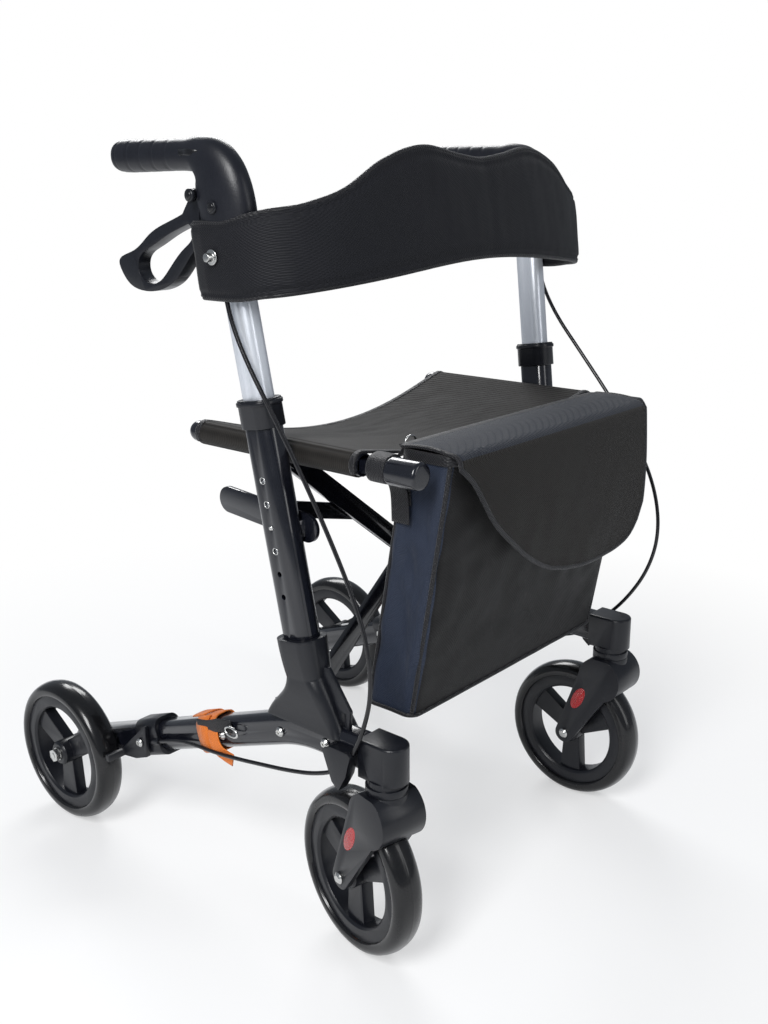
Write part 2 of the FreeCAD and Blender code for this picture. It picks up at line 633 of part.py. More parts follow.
# Brake lever: a closed loop that hangs behind and below its pivot.
def loop_face(points, x):
    """A smooth closed outline through points of (y, z), as a face at x."""
    curve = Part.BSplineCurve()
    curve.interpolate([V(x, y, z) for y, z in points], True)
    return Part.Face(Part.Wire([curve.toShape()]))


LEVER_OUTER = [(-75, 846), (-52, 836), (0, 816), (32, 797), (57, 784), (52, 773), (38, 760), (16, 754.5),
               (-14, 757), (-38, 767), (-62, 789), (-80, 808), (-86, 828)]
LEVER_INNER = [(-66, 828), (-34, 817), (0, 802), (21, 788), (22, 776), (8, 764), (-8, 764),
               (-30, 779), (-60, 804), (-73, 820)]
lever_left = -size("handle_axis_x") - size("lever_width") / 2
lever_plate = loop_face(LEVER_OUTER, lever_left).extrude(V(size("lever_width"), 0, 0))
lever_window = loop_face(LEVER_INNER, lever_left - 1).extrude(V(size("lever_width") + 2, 0, 0))
lever_boss = Part.makeCylinder(7.5, size("lever_width"), lever_pivot - V(size("lever_width") / 2, 0, 0), V(1, 0, 0))
boss_neck = Part.Face(Part.makePolygon([V(lever_left, y, z) for y, z in (
    (-86, 856), (-85, 826), (-66, 830), (-58, 838), (-72, 856), (-86, 856))])).extrude(V(size("lever_width"), 0, 0))
pin_bore = Part.makeCylinder(3.0 + size("running_gap"), 60, lever_pivot - V(30, 0, 0), V(1, 0, 0))
lever = lever_plate.fuse([lever_boss, boss_neck]).cut(lever_window).cut(pin_bore)
lever = max(lever.Solids, key=lambda solid: solid.Volume)
right_lever = feature(lever, "right_brake_lever")
mirrored(right_lever, "left_brake_lever")

# Lever pivot pin and backrest screw share the handle's screw node.
pin_length = size("lever_width") + 9
lever_pin = Part.makeCylinder(3.0, pin_length + 1, lever_pivot - V(pin_length / 2 + 0.5, 0, 0), V(1, 0, 0))
pin_head = Part.makeCylinder(5.5, 2.5, lever_pivot - V(pin_length / 2, 0, 0), V(-1, 0, 0))
band_side = -size("band_half") - size("band_wall") / 2
screw_shank = Part.makeCylinder(3.0, screw_at.x - band_side + 6, V(band_side, screw_at.y, screw_at.z), V(1, 0, 0))
SCREW_HEAD_GAP = 0.9
screw_head = Part.makeCylinder(8.0, 2.0, V(band_side - SCREW_HEAD_GAP, screw_at.y, screw_at.z), V(-1, 0, 0))
screw_knob = Part.makeCylinder(4.5, 10.0, V(band_side, screw_at.y, screw_at.z), V(-1, 0, 0))
screw_knob = screw_knob.cut(Part.makeBox(SCREW_HEAD_GAP, 12, 12, V(band_side - SCREW_HEAD_GAP, screw_at.y - 6,
                                                                 screw_at.z - 6)))
screw_link = Part.makeCylinder(3.0, 2.0, V(band_side + 0.5, screw_at.y, screw_at.z), V(-1, 0, 0))
screws = Part.makeCompound([lever_pin.fuse(pin_head), screw_shank.fuse([screw_link, screw_head, screw_knob])])
right_screws = feature(screws, "right_handle_screws")
mirrored(right_screws, "left_handle_screws")

# ---------------------------------------------------------------- casters

def caster_frame(side, yaw):
    """Placement at the ground under a caster's swivel axis; +Y trails behind the axis."""
    return FreeCAD.Placement(V(side * size("caster_x"), size("caster_y"), 0), FreeCAD.Rotation(V(0, 0, 1), yaw))


ARM_INNER = size("tyre_width") / 2 + size("fork_gap")
ARM_OUTER = ARM_INNER + size("fork_wall")
AXLE_Y = size("caster_trail")
AXLE_Z = size("wheel_radius")
CROWN_Z = size("swivel_z") - 30.0
CROWN_TOP = size("swivel_z") - 0.5


def strap_plate(low, low_radius, high, high_radius, x, thickness):
    """A flat plate at x: the shape that wraps two discs given as (y, z) and radius."""
    dy = high[0] - low[0]
    dz = high[1] - low[1]
    span = math.hypot(dy, dz)
    heading = math.atan2(dz, dy)
    spread = math.acos((low_radius - high_radius) / span)
    corners = []
    for angle in (heading + spread, heading - spread):
        corners.append((
            V(x, low[0] + low_radius * math.cos(angle), low[1] + low_radius * math.sin(angle)),
            V(x, high[0] + high_radius * math.cos(angle), high[1] + high_radius * math.sin(angle))))
    (a_low, a_high), (b_low, b_high) = corners
    low_back = V(x, low[0] - low_radius * math.cos(heading), low[1] - low_radius * math.sin(heading))
    high_front = V(x, high[0] + high_radius * math.cos(heading), high[1] + high_radius * math.sin(heading))
    outline = Part.Wire([
        Part.LineSegment(a_low, a_high).toShape(), Part.Arc(a_high, high_front, b_high).toShape(),
        Part.LineSegment(b_high, b_low).toShape(), Part.Arc(b_low, low_back, a_low).toShape()])
    return Part.Face(outline).extrude(V(thickness, 0, 0))


def fork_solid():
    arm_axis = (AXLE_Y, AXLE_Z)
    crown_axis = (3.0, CROWN_Z)
    arms = [strap_plate(arm_axis, 14.0, crown_axis, size("crown_radius") - 4, x, size("fork_wall"))
            for x in (ARM_INNER, -ARM_OUTER)]
    crown = Part.makeCylinder(size("crown_radius"), 2 * ARM_OUTER, V(-ARM_OUTER, 0, CROWN_Z), V(1, 0, 0))
    collar = Part.makeCylinder(size("bearing_radius"), CROWN_TOP - CROWN_Z, V(0, 0, CROWN_Z))
    stem = Part.makeCylinder(size("stem_radius"), 26, V(0, 0, CROWN_TOP))
    clear = Part.makeCylinder(size("wheel_radius") + 5.0, 2 * ARM_INNER, V(-ARM_INNER, AXLE_Y, AXLE_Z), V(1, 0, 0))
    bore = Part.makeCylinder(size("axle_radius") + 0.1, 2 * ARM_OUTER + 2, V(-ARM_OUTER - 1, AXLE_Y, AXLE_Z), V(1, 0, 0))
    above = Part.makeBox(200, 200, 60, V(-100, -100, CROWN_TOP))
    body = crown.fuse([collar] + arms).cut(above).cut(clear).fuse(stem).cut(bore)
    for pad in reflector_pads():
        body = body.cut(pad)
    return body


def reflector_pads(depth=1.5):
    """Oval pads on the outside of both fork arms, along the arm."""
    slope = math.degrees(math.atan2(AXLE_Y - 3.0, CROWN_Z - AXLE_Z))
    pads = []
    for sign in (-1, 1):
        oval = Part.Ellipse(V(0, 0, 0), 19.0, 8.5).toShape()
        pad = Part.Face(Part.Wire([oval])).extrude(V(0, 0, depth))
        pad.rotate(V(0, 0, 0), V(0, 1, 0), 90)
        pad.rotate(V(0, 0, 0), V(1, 0, 0), slope)
        start = ARM_OUTER - depth if sign > 0 else -ARM_OUTER
        pad.translate(V(start, (AXLE_Y + 3.0) / 2 + 4, (AXLE_Z + CROWN_Z) / 2 + 12))
        pads.append(pad)
    return pads


def caster(name, side, yaw):
    """One caster: fork, reflectors, axle, rim and tyre, turned by yaw about the swivel axis."""
    frame = caster_frame(side, yaw)
    feature(fork_solid(), name + "_fork", frame)
    feature(Part.makeCompound(reflector_pads()), name + "_reflectors", frame)
    axle = axle_bolt(size("axle_radius"), -ARM_OUTER, ARM_OUTER, 7.0, 6.5)
    axle.rotate(V(0, 0, 0), V(0, 1, 0), 90)
    axle.translate(V(0, AXLE_Y, AXLE_Z))
    feature(axle, name + "_front_axle", frame)
    hub = frame.multVec(V(0, AXLE_Y, AXLE_Z))
    place = wheel_place(hub.x, hub.y, hub.z, yaw)
    make_rim(name + "_front_rim", place)
    make_tyre(name + "_front_tyre", place)


caster("right", -1, -size("right_caster_yaw"))
caster("left", 1, 0.0)


def caster_housing():
    """Plastic end of the beam with the caster bearing's two rings below it."""
    x = -size("caster_x")
    y = size("caster_y")
    half_width = size("beam_width") / 2 + 3.0
    low = size("beam_front_z") - size("beam_height") / 2 - 2.5
    high = size("beam_front_z") + size("beam_height") / 2 + 2.5
    nose = Part.makeCylinder(half_width, high - low, V(x, y - 8, low))
    back = size("beam_front_y") + 12.0
    sleeve = Part.makeBox(2 * half_width, back - y + 8, high - low, V(x - half_width, y - 8, low))
    upper_ring = Part.makeCylinder(size("bearing_radius") - 2.5, low - size("swivel_z") - 5, V(x, y, size("swivel_z") + 6))
    lower_ring = Part.makeCylinder(size("bearing_radius"), 8.5, V(x, y, size("swivel_z")))
    bore = Part.makeCylinder(size("stem_radius") + size("running_gap"), 27, V(x, y, size("swivel_z") - 1))
    body = nose.fuse([sleeve, upper_ring, lower_ring])
    body = body.makeFillet(3.0, [e for e in body.Edges if abs(e.BoundBox.ZMin - high) < 0.01 and
                                 e.BoundBox.YMin < back - 1])
    return body.cut(beam_solid).cut(bore)


right_housing = feature(caster_housing(), "right_caster_housing")
mirrored(right_housing, "left_caster_housing")

# ---------------------------------------------------------------- rear brake

def along_beam(y, x, across):
    """A point beside the falling rear of the beam: sideways x, across the fall."""
    return V(x, y + across * math.sin(SLOPE), beam_at(y) + across * math.cos(SLOPE))


BRAKE_Y = 104.0
BRAKE_LENGTH = 46.0


def brake_sleeve():
    outline = rounded_box_wire(size("beam_width") + 9, size("beam_height") + 11, 13)
    sleeve = Part.Face(outline).extrude(V(0, 0, BRAKE_LENGTH))
    sleeve.translate(V(0, 0, -BRAKE_LENGTH / 2))
    sleeve.rotate(V(0, 0, 0), V(1, 0, 0), 90 - math.degrees(SLOPE))
    sleeve.translate(along_beam(BRAKE_Y, -size("beam_x"), 0))
    return sleeve


right_sleeve = brake_sleeve()
pivot = along_beam(BRAKE_Y + 8, -BEAM_OUTER - 4.5, -1)
sleeve_stop = Part.makeCylinder(4.5, 14, along_beam(BRAKE_Y - 27, -BEAM_OUTER - 6.5, -3),
                                V(0, math.cos(SLOPE), -math.sin(SLOPE)))
sleeve_hole = Part.makeCylinder(3.1, size("beam_width") + 30, V(-BEAM_OUTER - 15, pivot.y, pivot.z), V(1, 0, 0))
brake_body = right_sleeve.fuse(sleeve_stop).cut(beam_solid).cut(sleeve_hole)
right_brake = feature(brake_body, "right_brake_sleeve")
mirrored(right_brake, "left_brake_sleeve")
right_beam.Shape = right_beam.Shape.cut(sleeve_hole)

SHOE_GAP = 5.2          # beam's outer face to the brake arm
SHOE_DEPTH = 6.0
frame_bolts.append(side_bolt(pivot.y, pivot.z, BEAM_OUTER + SHOE_GAP + SHOE_DEPTH + 0.5,
                             size("beam_x") - (size("beam_width") + 9) / 2, size("bolt_radius")))
right_bolts = feature(Part.makeCompound(frame_bolts), "right_frame_bolts")
mirrored(right_bolts, "left_frame_bolts")


def shoe_solid():
    """Curved brake arm that reaches from its pivot to the front of the rear tyre."""
    x0 = -BEAM_OUTER - SHOE_GAP
    tyre_front = size("rear_axle_y") - size("wheel_radius")
    outline = [
        V(x0, pivot.y - 10, pivot.z + 26), V(x0, pivot.y + 14, pivot.z + 4), V(x0, tyre_front - 3.5, pivot.z - 26),
        V(x0, tyre_front - 6, pivot.z - 33), V(x0, pivot.y + 12, pivot.z - 28), V(x0, pivot.y - 12, pivot.z - 18),
        V(x0, pivot.y - 12, pivot.z + 24), V(x0, pivot.y - 10, pivot.z + 26)]
    arm = Part.Face(Part.makePolygon(outline)).extrude(V(-SHOE_DEPTH, 0, 0))
    pad = Part.makeBox(28, 7, 9, V(-size("rear_axle_x") - 14, tyre_front - 10.5, pivot.z - 33))
    bore = Part.makeCylinder(3.0 + size("running_gap"), 20, V(x0 - 8, pivot.y, pivot.z), V(1, 0, 0))
    tyre_clear = Part.makeCylinder(size("wheel_radius") + 2.5, 60, V(
        -size("rear_axle_x") - 30, size("rear_axle_y"), size("wheel_radius")), V(1, 0, 0))
    return arm.fuse(pad).cut(bore).cut(tyre_clear)


right_shoe = feature(shoe_solid(), "right_brake_shoe")
mirrored(right_shoe, "left_brake_shoe")

# ---------------------------------------------------------------- seat rails and folding cross

HINGE_GAP = size("running_gap")
PIN_Y_FRONT = size("bar_y") - size("bar_gap") / 2 - size("bar_depth")
PIN_Y_BACK = size("bar_y") + size("bar_gap") / 2 + size("bar_depth")
BAR_RUN = V(2 * size("pivot_x"), 0, size("pivot_top_z") - size("pivot_low_z"))
BAR_LENGTH = BAR_RUN.Length
BAR_ANGLE = math.degrees(math.atan2(BAR_RUN.z, BAR_RUN.x))


def y_pin(x, z, y_low, y_high, radius):
    return Part.makeCylinder(radius, y_high - y_low, V(x, y_low, z), V(0, 1, 0))


def flat_link(start, end, height, y_low, depth):
    """A flat bar with round ends between two pins given as (x, z)."""
    dx = end[0] - start[0]
    dz = end[1] - start[1]
    length = math.hypot(dx, dz)
    half = height / 2
    outline = Part.Wire([
        Part.LineSegment(V(0, 0, -half), V(length, 0, -half)).toShape(),
        Part.Arc(V(length, 0, -half), V(length + half, 0, 0), V(length, 0, half)).toShape(),
        Part.LineSegment(V(length, 0, half), V(0, 0, half)).toShape(),
        Part.Arc(V(0, 0, half), V(-half, 0, 0), V(0, 0, -half)).toShape()])
    bar = Part.Face(outline).extrude(V(0, depth, 0))
    bar.rotate(V(0, 0, 0), V(0, 1, 0), -math.degrees(math.atan2(dz, dx)))
    bar.translate(V(start[0], y_low, start[1]))
    return bar


def cross_bar(side, y_low):
    """Bar from the low pivot on the given side to the top pivot on the other side."""
    low = (side * size("pivot_x"), size("pivot_low_z"))
    top = (-side * size("pivot_x"), size("pivot_top_z"))
    bar = flat_link(low, top, size("bar_height"), y_low, size("bar_depth"))
    for x, z in (low, top, (0.0, (low[1] + top[1]) / 2)):
        bar = bar.cut(y_pin(x, z, y_low - 1, y_low + size("bar_depth") + 1, size("pin_radius") + HINGE_GAP))
    return bar


def link_seat(side):
    """Where the side link's bolt meets the bar that carries the same side's rail."""
    share = size("link_reach") / BAR_LENGTH
    return (side * (size("pivot_x") - BAR_RUN.x * share), size("pivot_top_z") - BAR_RUN.z * share)


CENTRE_Z = (size("pivot_low_z") + size("pivot_top_z")) / 2
bar_b = cross_bar(1, size("bar_y") + size("bar_gap") / 2)
centre_head = y_pin(0, CENTRE_Z, PIN_Y_FRONT - 4, PIN_Y_FRONT, 9.0)
bar_a_solid = cross_bar(-1, PIN_Y_FRONT).fuse([centre_head, y_pin(0, CENTRE_Z, PIN_Y_FRONT, PIN_Y_BACK + 6,
                                               size("pin_radius"))])
left_seat = link_seat(1)
right_seat = link_seat(-1)
bar_a_solid = bar_a_solid.fuse(y_pin(left_seat[0], left_seat[1], PIN_Y_FRONT - 1.5, PIN_Y_FRONT + 1, 7.0))
bar_b_solid = bar_b.fuse(y_pin(right_seat[0], right_seat[1], PIN_Y_BACK - 1, PIN_Y_BACK + 1.5, 7.0))
feature(bar_a_solid, "cross_bar_front")
feature(bar_b_solid, "cross_bar_rear")


def seat_rail(side, y_low, y_high):
    """Rail tube, its lug for the cross bar's pin between y_low and y_high, and the bag hook."""
    x = side * size("rail_x")
    z = size("rail_z")
    length = size("rail_rear_y") - size("rail_front_y")
    tube = Part.makeCylinder(size("rail_radius"), length, V(x, size("rail_front_y"), z), V(0, 1, 0))
    core = Part.makeCylinder(size("rail_radius") - 2, length - 6, V(x, size("rail_front_y") - 1, z), V(0, 1, 0))
    cap = Part.makeSphere(size("rail_radius"), V(x, size("rail_rear_y"), z))
    bar = Part.makeBox(size("hook_bar"), 44, size("hook_bar"),
                       V(x - size("hook_bar") / 2, size("hook_front_y") + 36, z - size("hook_bar") / 2))
    knob_length = 42.0
    knob = Part.makeCylinder(size("hook_radius"), knob_length, V(x, size("hook_front_y"), z), V(0, 1, 0))
    knob = knob.makeFillet(4.0, [edge for edge in knob.Edges if edge.BoundBox.YLength < 0.01])
    pivot_at = V(side * size("pivot_x"), y_low - 6, size("pivot_top_z"))
    lug = strap_between(V(x, y_low - 6, z), size("rail_radius") - 1, pivot_at, 10.0, 5.5)
    lug_back = strap_between(V(x, y_high + 0.5, z), size("rail_radius") - 1, V(pivot_at.x, y_high + 0.5, pivot_at.z), 10.0, 5.5)
    pin = y_pin(pivot_at.x, pivot_at.z, y_low - 1, y_high + 1, size("pin_radius"))
    return tube.cut(core).fuse([cap, bar, knob, lug, lug_back, pin]).cut(
        Part.makeCylinder(size("rail_radius") - 2, 30, V(x, y_low - 10, z), V(0, 1, 0)))


def strap_between(start, start_radius, end, end_radius, depth):
    """A flat plate across Y that wraps two discs."""
    dx = end.x - start.x
    dz = end.z - start.z
    plate = strap_plate((0.0, 0.0), start_radius, (math.hypot(dx, dz), 0.0), end_radius, 0.0, depth)
    # The plate is drawn from Y towards +Y in the YZ plane; lay it into the XZ plane.
    plate.rotate(V(0, 0, 0), V(0, 0, 1), -90)
    plate.rotate(V(0, 0, 0), V(0, 1, 0), -math.degrees(math.atan2(dz, dx)))
    plate.translate(V(start.x, start.y + depth, start.z))
    return plate


BAR_A_LOW, BAR_A_HIGH = PIN_Y_FRONT, PIN_Y_FRONT + size("bar_depth")
BAR_B_LOW, BAR_B_HIGH = PIN_Y_BACK - size("bar_depth"), PIN_Y_BACK
feature(seat_rail(-1, BAR_B_LOW, BAR_B_HIGH), "right_seat_rail")
feature(seat_rail(1, BAR_A_LOW, BAR_A_HIGH), "left_seat_rail")


def cross_bracket(side, y_low, y_high):
    """Clevis on the beam's inner face that holds the low end of one cross bar."""
    x_face = side * BEAM_INNER
    x_pin = side * size("pivot_x")
    z = size("pivot_low_z")
    plates = []
    for y in (y_low - 4.5, y_high + 0.5):
        outline = Part.makeBox(abs(x_face - x_pin), 4, 26, V(min(x_face, x_pin), y, z - 13))
        eye = y_pin(x_pin, z, y, y + 4, 13.0)
        plates += [outline, eye]
    base = Part.makeBox(4, y_high - y_low + 40, 30, V(x_face if side < 0 else x_face - 4, y_low - 20, z - 15))
    base = base.cut(nut_pocket if side < 0 else nut_pocket.mirror(V(0, 0, 0), V(1, 0, 0)))
    pin = y_pin(x_pin, z, y_low - 1, y_high + 1, size("pin_radius"))
    return base.fuse(plates + [pin])


def side_bracket(side, y_pin_low, y_pin_high):
    """Flat plate on the inside of the post, with the side link's pin."""
    x = side * size("link_x")
    plate_x = x + side * (size("link_height") / 2 + 1.5)
    low = (size("post_y") + 24.0, size("link_z") - 6.0)
    high = (-56.0, size("link_z") + 4.0)
    plate = strap_plate((low[0] - 14, low[1]), 16.0, high, 15.5, min(plate_x, plate_x + side * 5.0), 5.0)
    block = Part.makeBox(14, 30, 20, V(min(plate_x, plate_x + side * 14), size("post_y") + 12, size("link_z") - 16))
    boss = y_pin(x, size("link_z"), y_pin_low - 7, y_pin_low - 0.5, 8.0)
    pin = y_pin(x, size("link_z"), y_pin_low - 1, y_pin_high + 0.5, size("pin_radius"))
    rest = Part.makeBox(14, 6.5, 16, V(min(x, x + side * 14), y_pin_low - 7, size("link_z") - 8))
    return plate.fuse([block, boss, pin, rest])


LINK_GAP = 2.2
RIGHT_LINK_Y = PIN_Y_BACK + LINK_GAP
LEFT_LINK_Y = PIN_Y_FRONT - LINK_GAP - size("link_depth")
post_clear = prism(size("post_width"), size("post_depth"), POST_CORNER, 0, size("post_top"))
post_clear.Placement = POST
right_brackets = Part.makeCompound([
    cross_bracket(-1, BAR_A_LOW, BAR_A_HIGH),
    side_bracket(-1, RIGHT_LINK_Y, RIGHT_LINK_Y + size("link_depth")).cut(post_clear)])
left_brackets = Part.makeCompound([
    cross_bracket(1, BAR_B_LOW, BAR_B_HIGH),
    side_bracket(1, LEFT_LINK_Y, LEFT_LINK_Y + size("link_depth")).cut(post_clear.mirror(V(0, 0, 0), V(1, 0, 0)))])
feature(right_brackets, "right_cross_brackets")
feature(left_brackets, "left_cross_brackets")


def side_link(side, y_low):
    start = (side * size("link_x"), size("link_z"))
    link = flat_link(start, link_seat(side), size("link_height"), y_low, size("link_depth"))
    return link.cut(y_pin(start[0], start[1], y_low - 1, y_low + size("link_depth") + 1, size("pin_radius") + HINGE_GAP))


feature(side_link(-1, RIGHT_LINK_Y), "right_side_link")
feature(side_link(1, LEFT_LINK_Y), "left_side_link")

# ---------------------------------------------------------------- soft goods

def box_loft(low, high, corner):
    """Loft between two level rounded rectangles given as (y_front, y_back, half width, z)."""
    wires = []
    for y_front, y_back, half, z in (low, high):
        wires.append(rectangle_at(V(0, (y_front + y_back) / 2, z), 2 * half, y_back - y_front, corner))
    return Part.makeLoft(wires, True, False)


def bag_solid():
    skin = size("bag_wall")
    top = size("bag_top_z")
    low = size("bag_low_z")
    fall = (size("bag_front_low") - size("bag_front_top")) / (top - low)
    outer = box_loft((size("bag_front_low"), size("bag_back_low"), size("bag_half"), low),
                     (size("bag_front_top"), size("bag_back_top"), size("bag_half"), top), 12)
    lift = skin + 12.0
    inner = box_loft(
        (size("bag_front_low") + skin - fall * skin, size("bag_back_low") - skin - fall * skin,
         size("bag_half") - skin, low + skin),
        (size("bag_front_top") + skin - fall * lift, size("bag_back_top") - skin - fall * lift,
         size("bag_half") - skin, top + lift), 9)
    shell = outer.cut(inner)
    hangers = []
    for side in (-1, 1):
        x = side * size("rail_x")
        bar = size("hook_bar") / 2 + size("soft_gap")
        y = size("hook_front_y") + 43.5
        ring = Part.makeBox(2 * bar + 4, 20, 2 * bar + 4, V(x - bar - 2, y, size("rail_z") - bar - 2))
        hole = Part.makeBox(2 * bar, 24, 2 * bar, V(x - bar, y - 2, size("rail_z") - bar))
        reach = size("rail_x") - bar - size("bag_half") + 1.5
        tab = Part.makeBox(reach, 20, 2.0, V(min(side * (size("bag_half") - 1.5), side * (size("rail_x") - bar)),
                           y, size("rail_z") - bar - 2))
        hangers += [ring.cut(hole), tab]
    return shell.fuse(hangers)


feature(bag_solid(), "bag")


def flap_solid():
    back = size("bag_back_top")
    top = size("bag_top_z") + size("soft_gap") + size("flap_wall")
    front = size("flap_front")
    low = size("flap_low_z")
    t = size("flap_wall")
    fold = 12.0
    inside = fold - t
    k = math.sqrt(0.5)
    side = Part.Wire([
        Part.LineSegment(V(0, back, top), V(0, front + fold, top)).toShape(),
        Part.Arc(V(0, front + fold, top), V(0, front + fold - fold * k, top - fold + fold * k),
                 V(0, front, top - fold)).toShape(),
        Part.LineSegment(V(0, front, top - fold), V(0, front + 4, low)).toShape(),
        Part.LineSegment(V(0, front + 4, low), V(0, front + 4 + t, low)).toShape(),
        Part.LineSegment(V(0, front + 4 + t, low), V(0, front + t, top - fold)).toShape(),
        Part.Arc(V(0, front + t, top - fold), V(0, front + fold - inside * k, top - fold + inside * k),
                 V(0, front + fold, top - t)).toShape(),
        Part.LineSegment(V(0, front + fold, top - t), V(0, back, top - t)).toShape(),
        Part.LineSegment(V(0, back, top - t), V(0, back, top)).toShape()])
    half = size("bag_half") - 1.0
    sheet_solid = Part.Face(side).extrude(V(2 * half, 0, 0))
    sheet_solid.translate(V(-half, 0, 0))
    radius = 90.0
    bite = radius * (1 - math.sqrt(0.5))
    outline = Part.Wire([
        Part.LineSegment(V(-half, front - 5, top + 5), V(half, front - 5, top + 5)).toShape(),
        Part.LineSegment(V(half, front - 5, top + 5), V(half, front - 5, low + radius)).toShape(),
        Part.Arc(V(half, front - 5, low + radius), V(half - bite, front - 5, low + bite), V(half - radius, front - 5, low)).toShape(),
        Part.LineSegment(V(half - radius, front - 5, low), V(radius - half, front - 5, low)).toShape(),
        Part.Arc(V(radius - half, front - 5, low), V(bite - half, front - 5, low + bite), V(-half, front - 5, low + radius)).toShape(),
        Part.LineSegment(V(-half, front - 5, low + radius), V(-half, front - 5, top + 5)).toShape()])
    return sheet_solid.common(Part.Face(outline).extrude(V(0, back - front + 10, 0)))


feature(flap_solid(), "bag_flap")


def seat_sling():
    """Cloth seat: a sleeve round each rail and a sagging sheet between them."""
    x = size("rail_x")
    z = size("rail_z")
    t = size("seat_cloth")
    inner = size("rail_radius") + size("soft_gap")
    outer = inner + t
    length = size("rail_rear_y") - size("rail_front_y") - 14
    start_y = size("rail_front_y") + 6
    low = z + outer - size("seat_sag")
    upper = Part.Arc(V(-x, start_y, z + outer), V(0, start_y, low), V(x, start_y, z + outer))
    under = Part.Arc(V(x, start_y, z + inner), V(0, start_y, low - t), V(-x, start_y, z + inner))
    sheet_wire = Part.Wire([
        upper.toShape(), Part.LineSegment(V(x, start_y, z + outer), V(x, start_y, z + inner)).toShape(),
        under.toShape(), Part.LineSegment(V(-x, start_y, z + inner), V(-x, start_y, z + outer)).toShape()])
    body = Part.Face(sheet_wire).extrude(V(0, length, 0))
    for side in (-1, 1):
        tube = Part.makeCylinder(outer, length, V(side * x, start_y, z), V(0, 1, 0))
        body = body.fuse(tube)
    for side in (-1, 1):
        body = body.cut(Part.makeCylinder(inner, length + 4, V(side * x, start_y - 2, z), V(0, 1, 0)))
        body = body.cut(Part.makeBox(36, PIN_Y_BACK - PIN_Y_FRONT + 22, 33, V(
            side * (x - 6) - 18, PIN_Y_FRONT - 11, z - 26)))
    return max(body.Solids, key=lambda solid: solid.Volume)


feature(seat_sling(), "seat_sling")


def band_point(x, offset=0.0):
    """Plan of the backrest band at height band_z: a flattened arch round the posts' front."""
    half = size("band_half") + offset
    share = min(abs(x) / half, 1.0)
    power = 2.8
    depth = (size("band_bulge") + offset) * (1 - share ** power) ** (1 / power)
    return V(x, BAND_ROOT_Y - depth, 0)


BAND_MIDDLE_Z = 800.0
BAND_ROOT_Y = size("post_y") + math.tan(math.radians(size("post_lean"))) * (BAND_MIDDLE_Z - size("post_z")) + 8.0


def backrest_band():
    half = size("band_half")
    t = size("band_wall") / 2
    edges = []
    for offset in (t, -t):
        reach = half + offset
        angles = [math.radians(a) for a in range(-90, 91, 10)]
        points = [band_point(reach * math.sin(a), offset) for a in angles]
        points = [V(-reach, size("band_back_y"), 0)] + points + [V(reach, size("band_back_y"), 0)]
        curve = Part.BSplineCurve()
        curve.interpolate(points[1:-1])
        edges.append((points, curve))
    (outer_points, outer), (inner_points, inner) = edges
    wire = Part.Wire(Part.__sortEdges__([
        Part.LineSegment(outer_points[0], outer_points[1]).toShape(), outer.toShape(),
        Part.LineSegment(outer_points[-2], outer_points[-1]).toShape(),
        Part.LineSegment(outer_points[-1], inner_points[-1]).toShape(),
        Part.LineSegment(inner_points[-1], inner_points[-2]).toShape(), inner.toShape(),
        Part.LineSegment(inner_points[1], inner_points[0]).toShape(),
        Part.LineSegment(inner_points[0], outer_points[0]).toShape()]))
    low = 740.0
    high = 920.0
    tilt = math.tan(math.radians(size("post_lean")))
    plan = Part.Face(wire)
    plan.translate(V(0, (low - BAND_MIDDLE_Z) * tilt, low))
    wall_solid = plan.extrude(V(0, (high - low) * tilt, high - low))
    top = [(-300, 818), (-284, 838), (-247, 847), (-206, 861), (-156, 889), (-98, 904), (0, 892),
           (98, 904), (156, 889), (206, 861), (247, 847), (284, 838), (300, 818)]
    under = [(300, 750), (280, 760), (146, 777), (0, 787), (-146, 777), (-280, 760), (-300, 750)]
    front = size("band_back_y") - 250
    curves = []
    for outline in (top, under):
        curve = Part.BSplineCurve()
        curve.interpolate([V(x, front, z) for x, z in outline])
        curves.append(curve.toShape())
    face = Part.Face(Part.Wire([
        curves[0], Part.LineSegment(V(300, front, 818), V(300, front, 750)).toShape(), curves[1],
        Part.LineSegment(V(-300, front, 750), V(-300, front, 818)).toShape()]))
    return wall_solid.common(face.extrude(V(0, 400, 0)))


band = backrest_band()
for side in (-1, 1):
    band = band.cut(Part.makeCylinder(3.2, 20, V(side * size("band_half") - 10, screw_at.y, screw_at.z), V(1, 0, 0)))
feature(band, "backrest_band")

# ---------------------------------------------------------------- brake cables

def cable_tube(points, radius):
    """A tube along straight runs joined by arcs as large as the runs allow."""
    edges = []
    here = points[0]
    length = 0.0
    tightest = 1e9
    for before, corner, after in zip(points, points[1:], points[2:]):
        into = (corner - before).normalize()
        out = (after - corner).normalize()
        turn = into.getAngle(out)
        shorter = min((corner - before).Length, (after - corner).Length)
        reach = 0.45 * shorter
        arc_radius = reach / math.tan(turn / 2)
        tightest = min(tightest, arc_radius)
        start = corner - into * reach
        end = corner + out * reach
        bisector = (out - into).normalize()
        middle = corner + bisector * (arc_radius / math.cos(turn / 2) - arc_radius)
        edges.append(Part.LineSegment(here, start).toShape())
        edges.append(Part.Arc(start, middle, end).toShape())
        length += (start - here).Length + arc_radius * turn
        here = end
    edges.append(Part.LineSegment(here, points[-1]).toShape())
    length += (points[-1] - here).Length
    path = Part.Wire(edges)
    ring = Part.Wire([Part.Circle(points[0], (points[1] - points[0]).normalize(), radius).toShape()])
    tube = path.makePipeShell([ring], True, False)
    expected = math.pi * radius ** 2 * length
    print("cable %.0f mm long, tightest arc %.1f mm, volume %.4f of section x length" % (
        length, tightest, tube.Volume / expected))
    return tube


def across(point):
    """The same point on the walker's other side."""
    return V(-point.x, point.y, point.z)


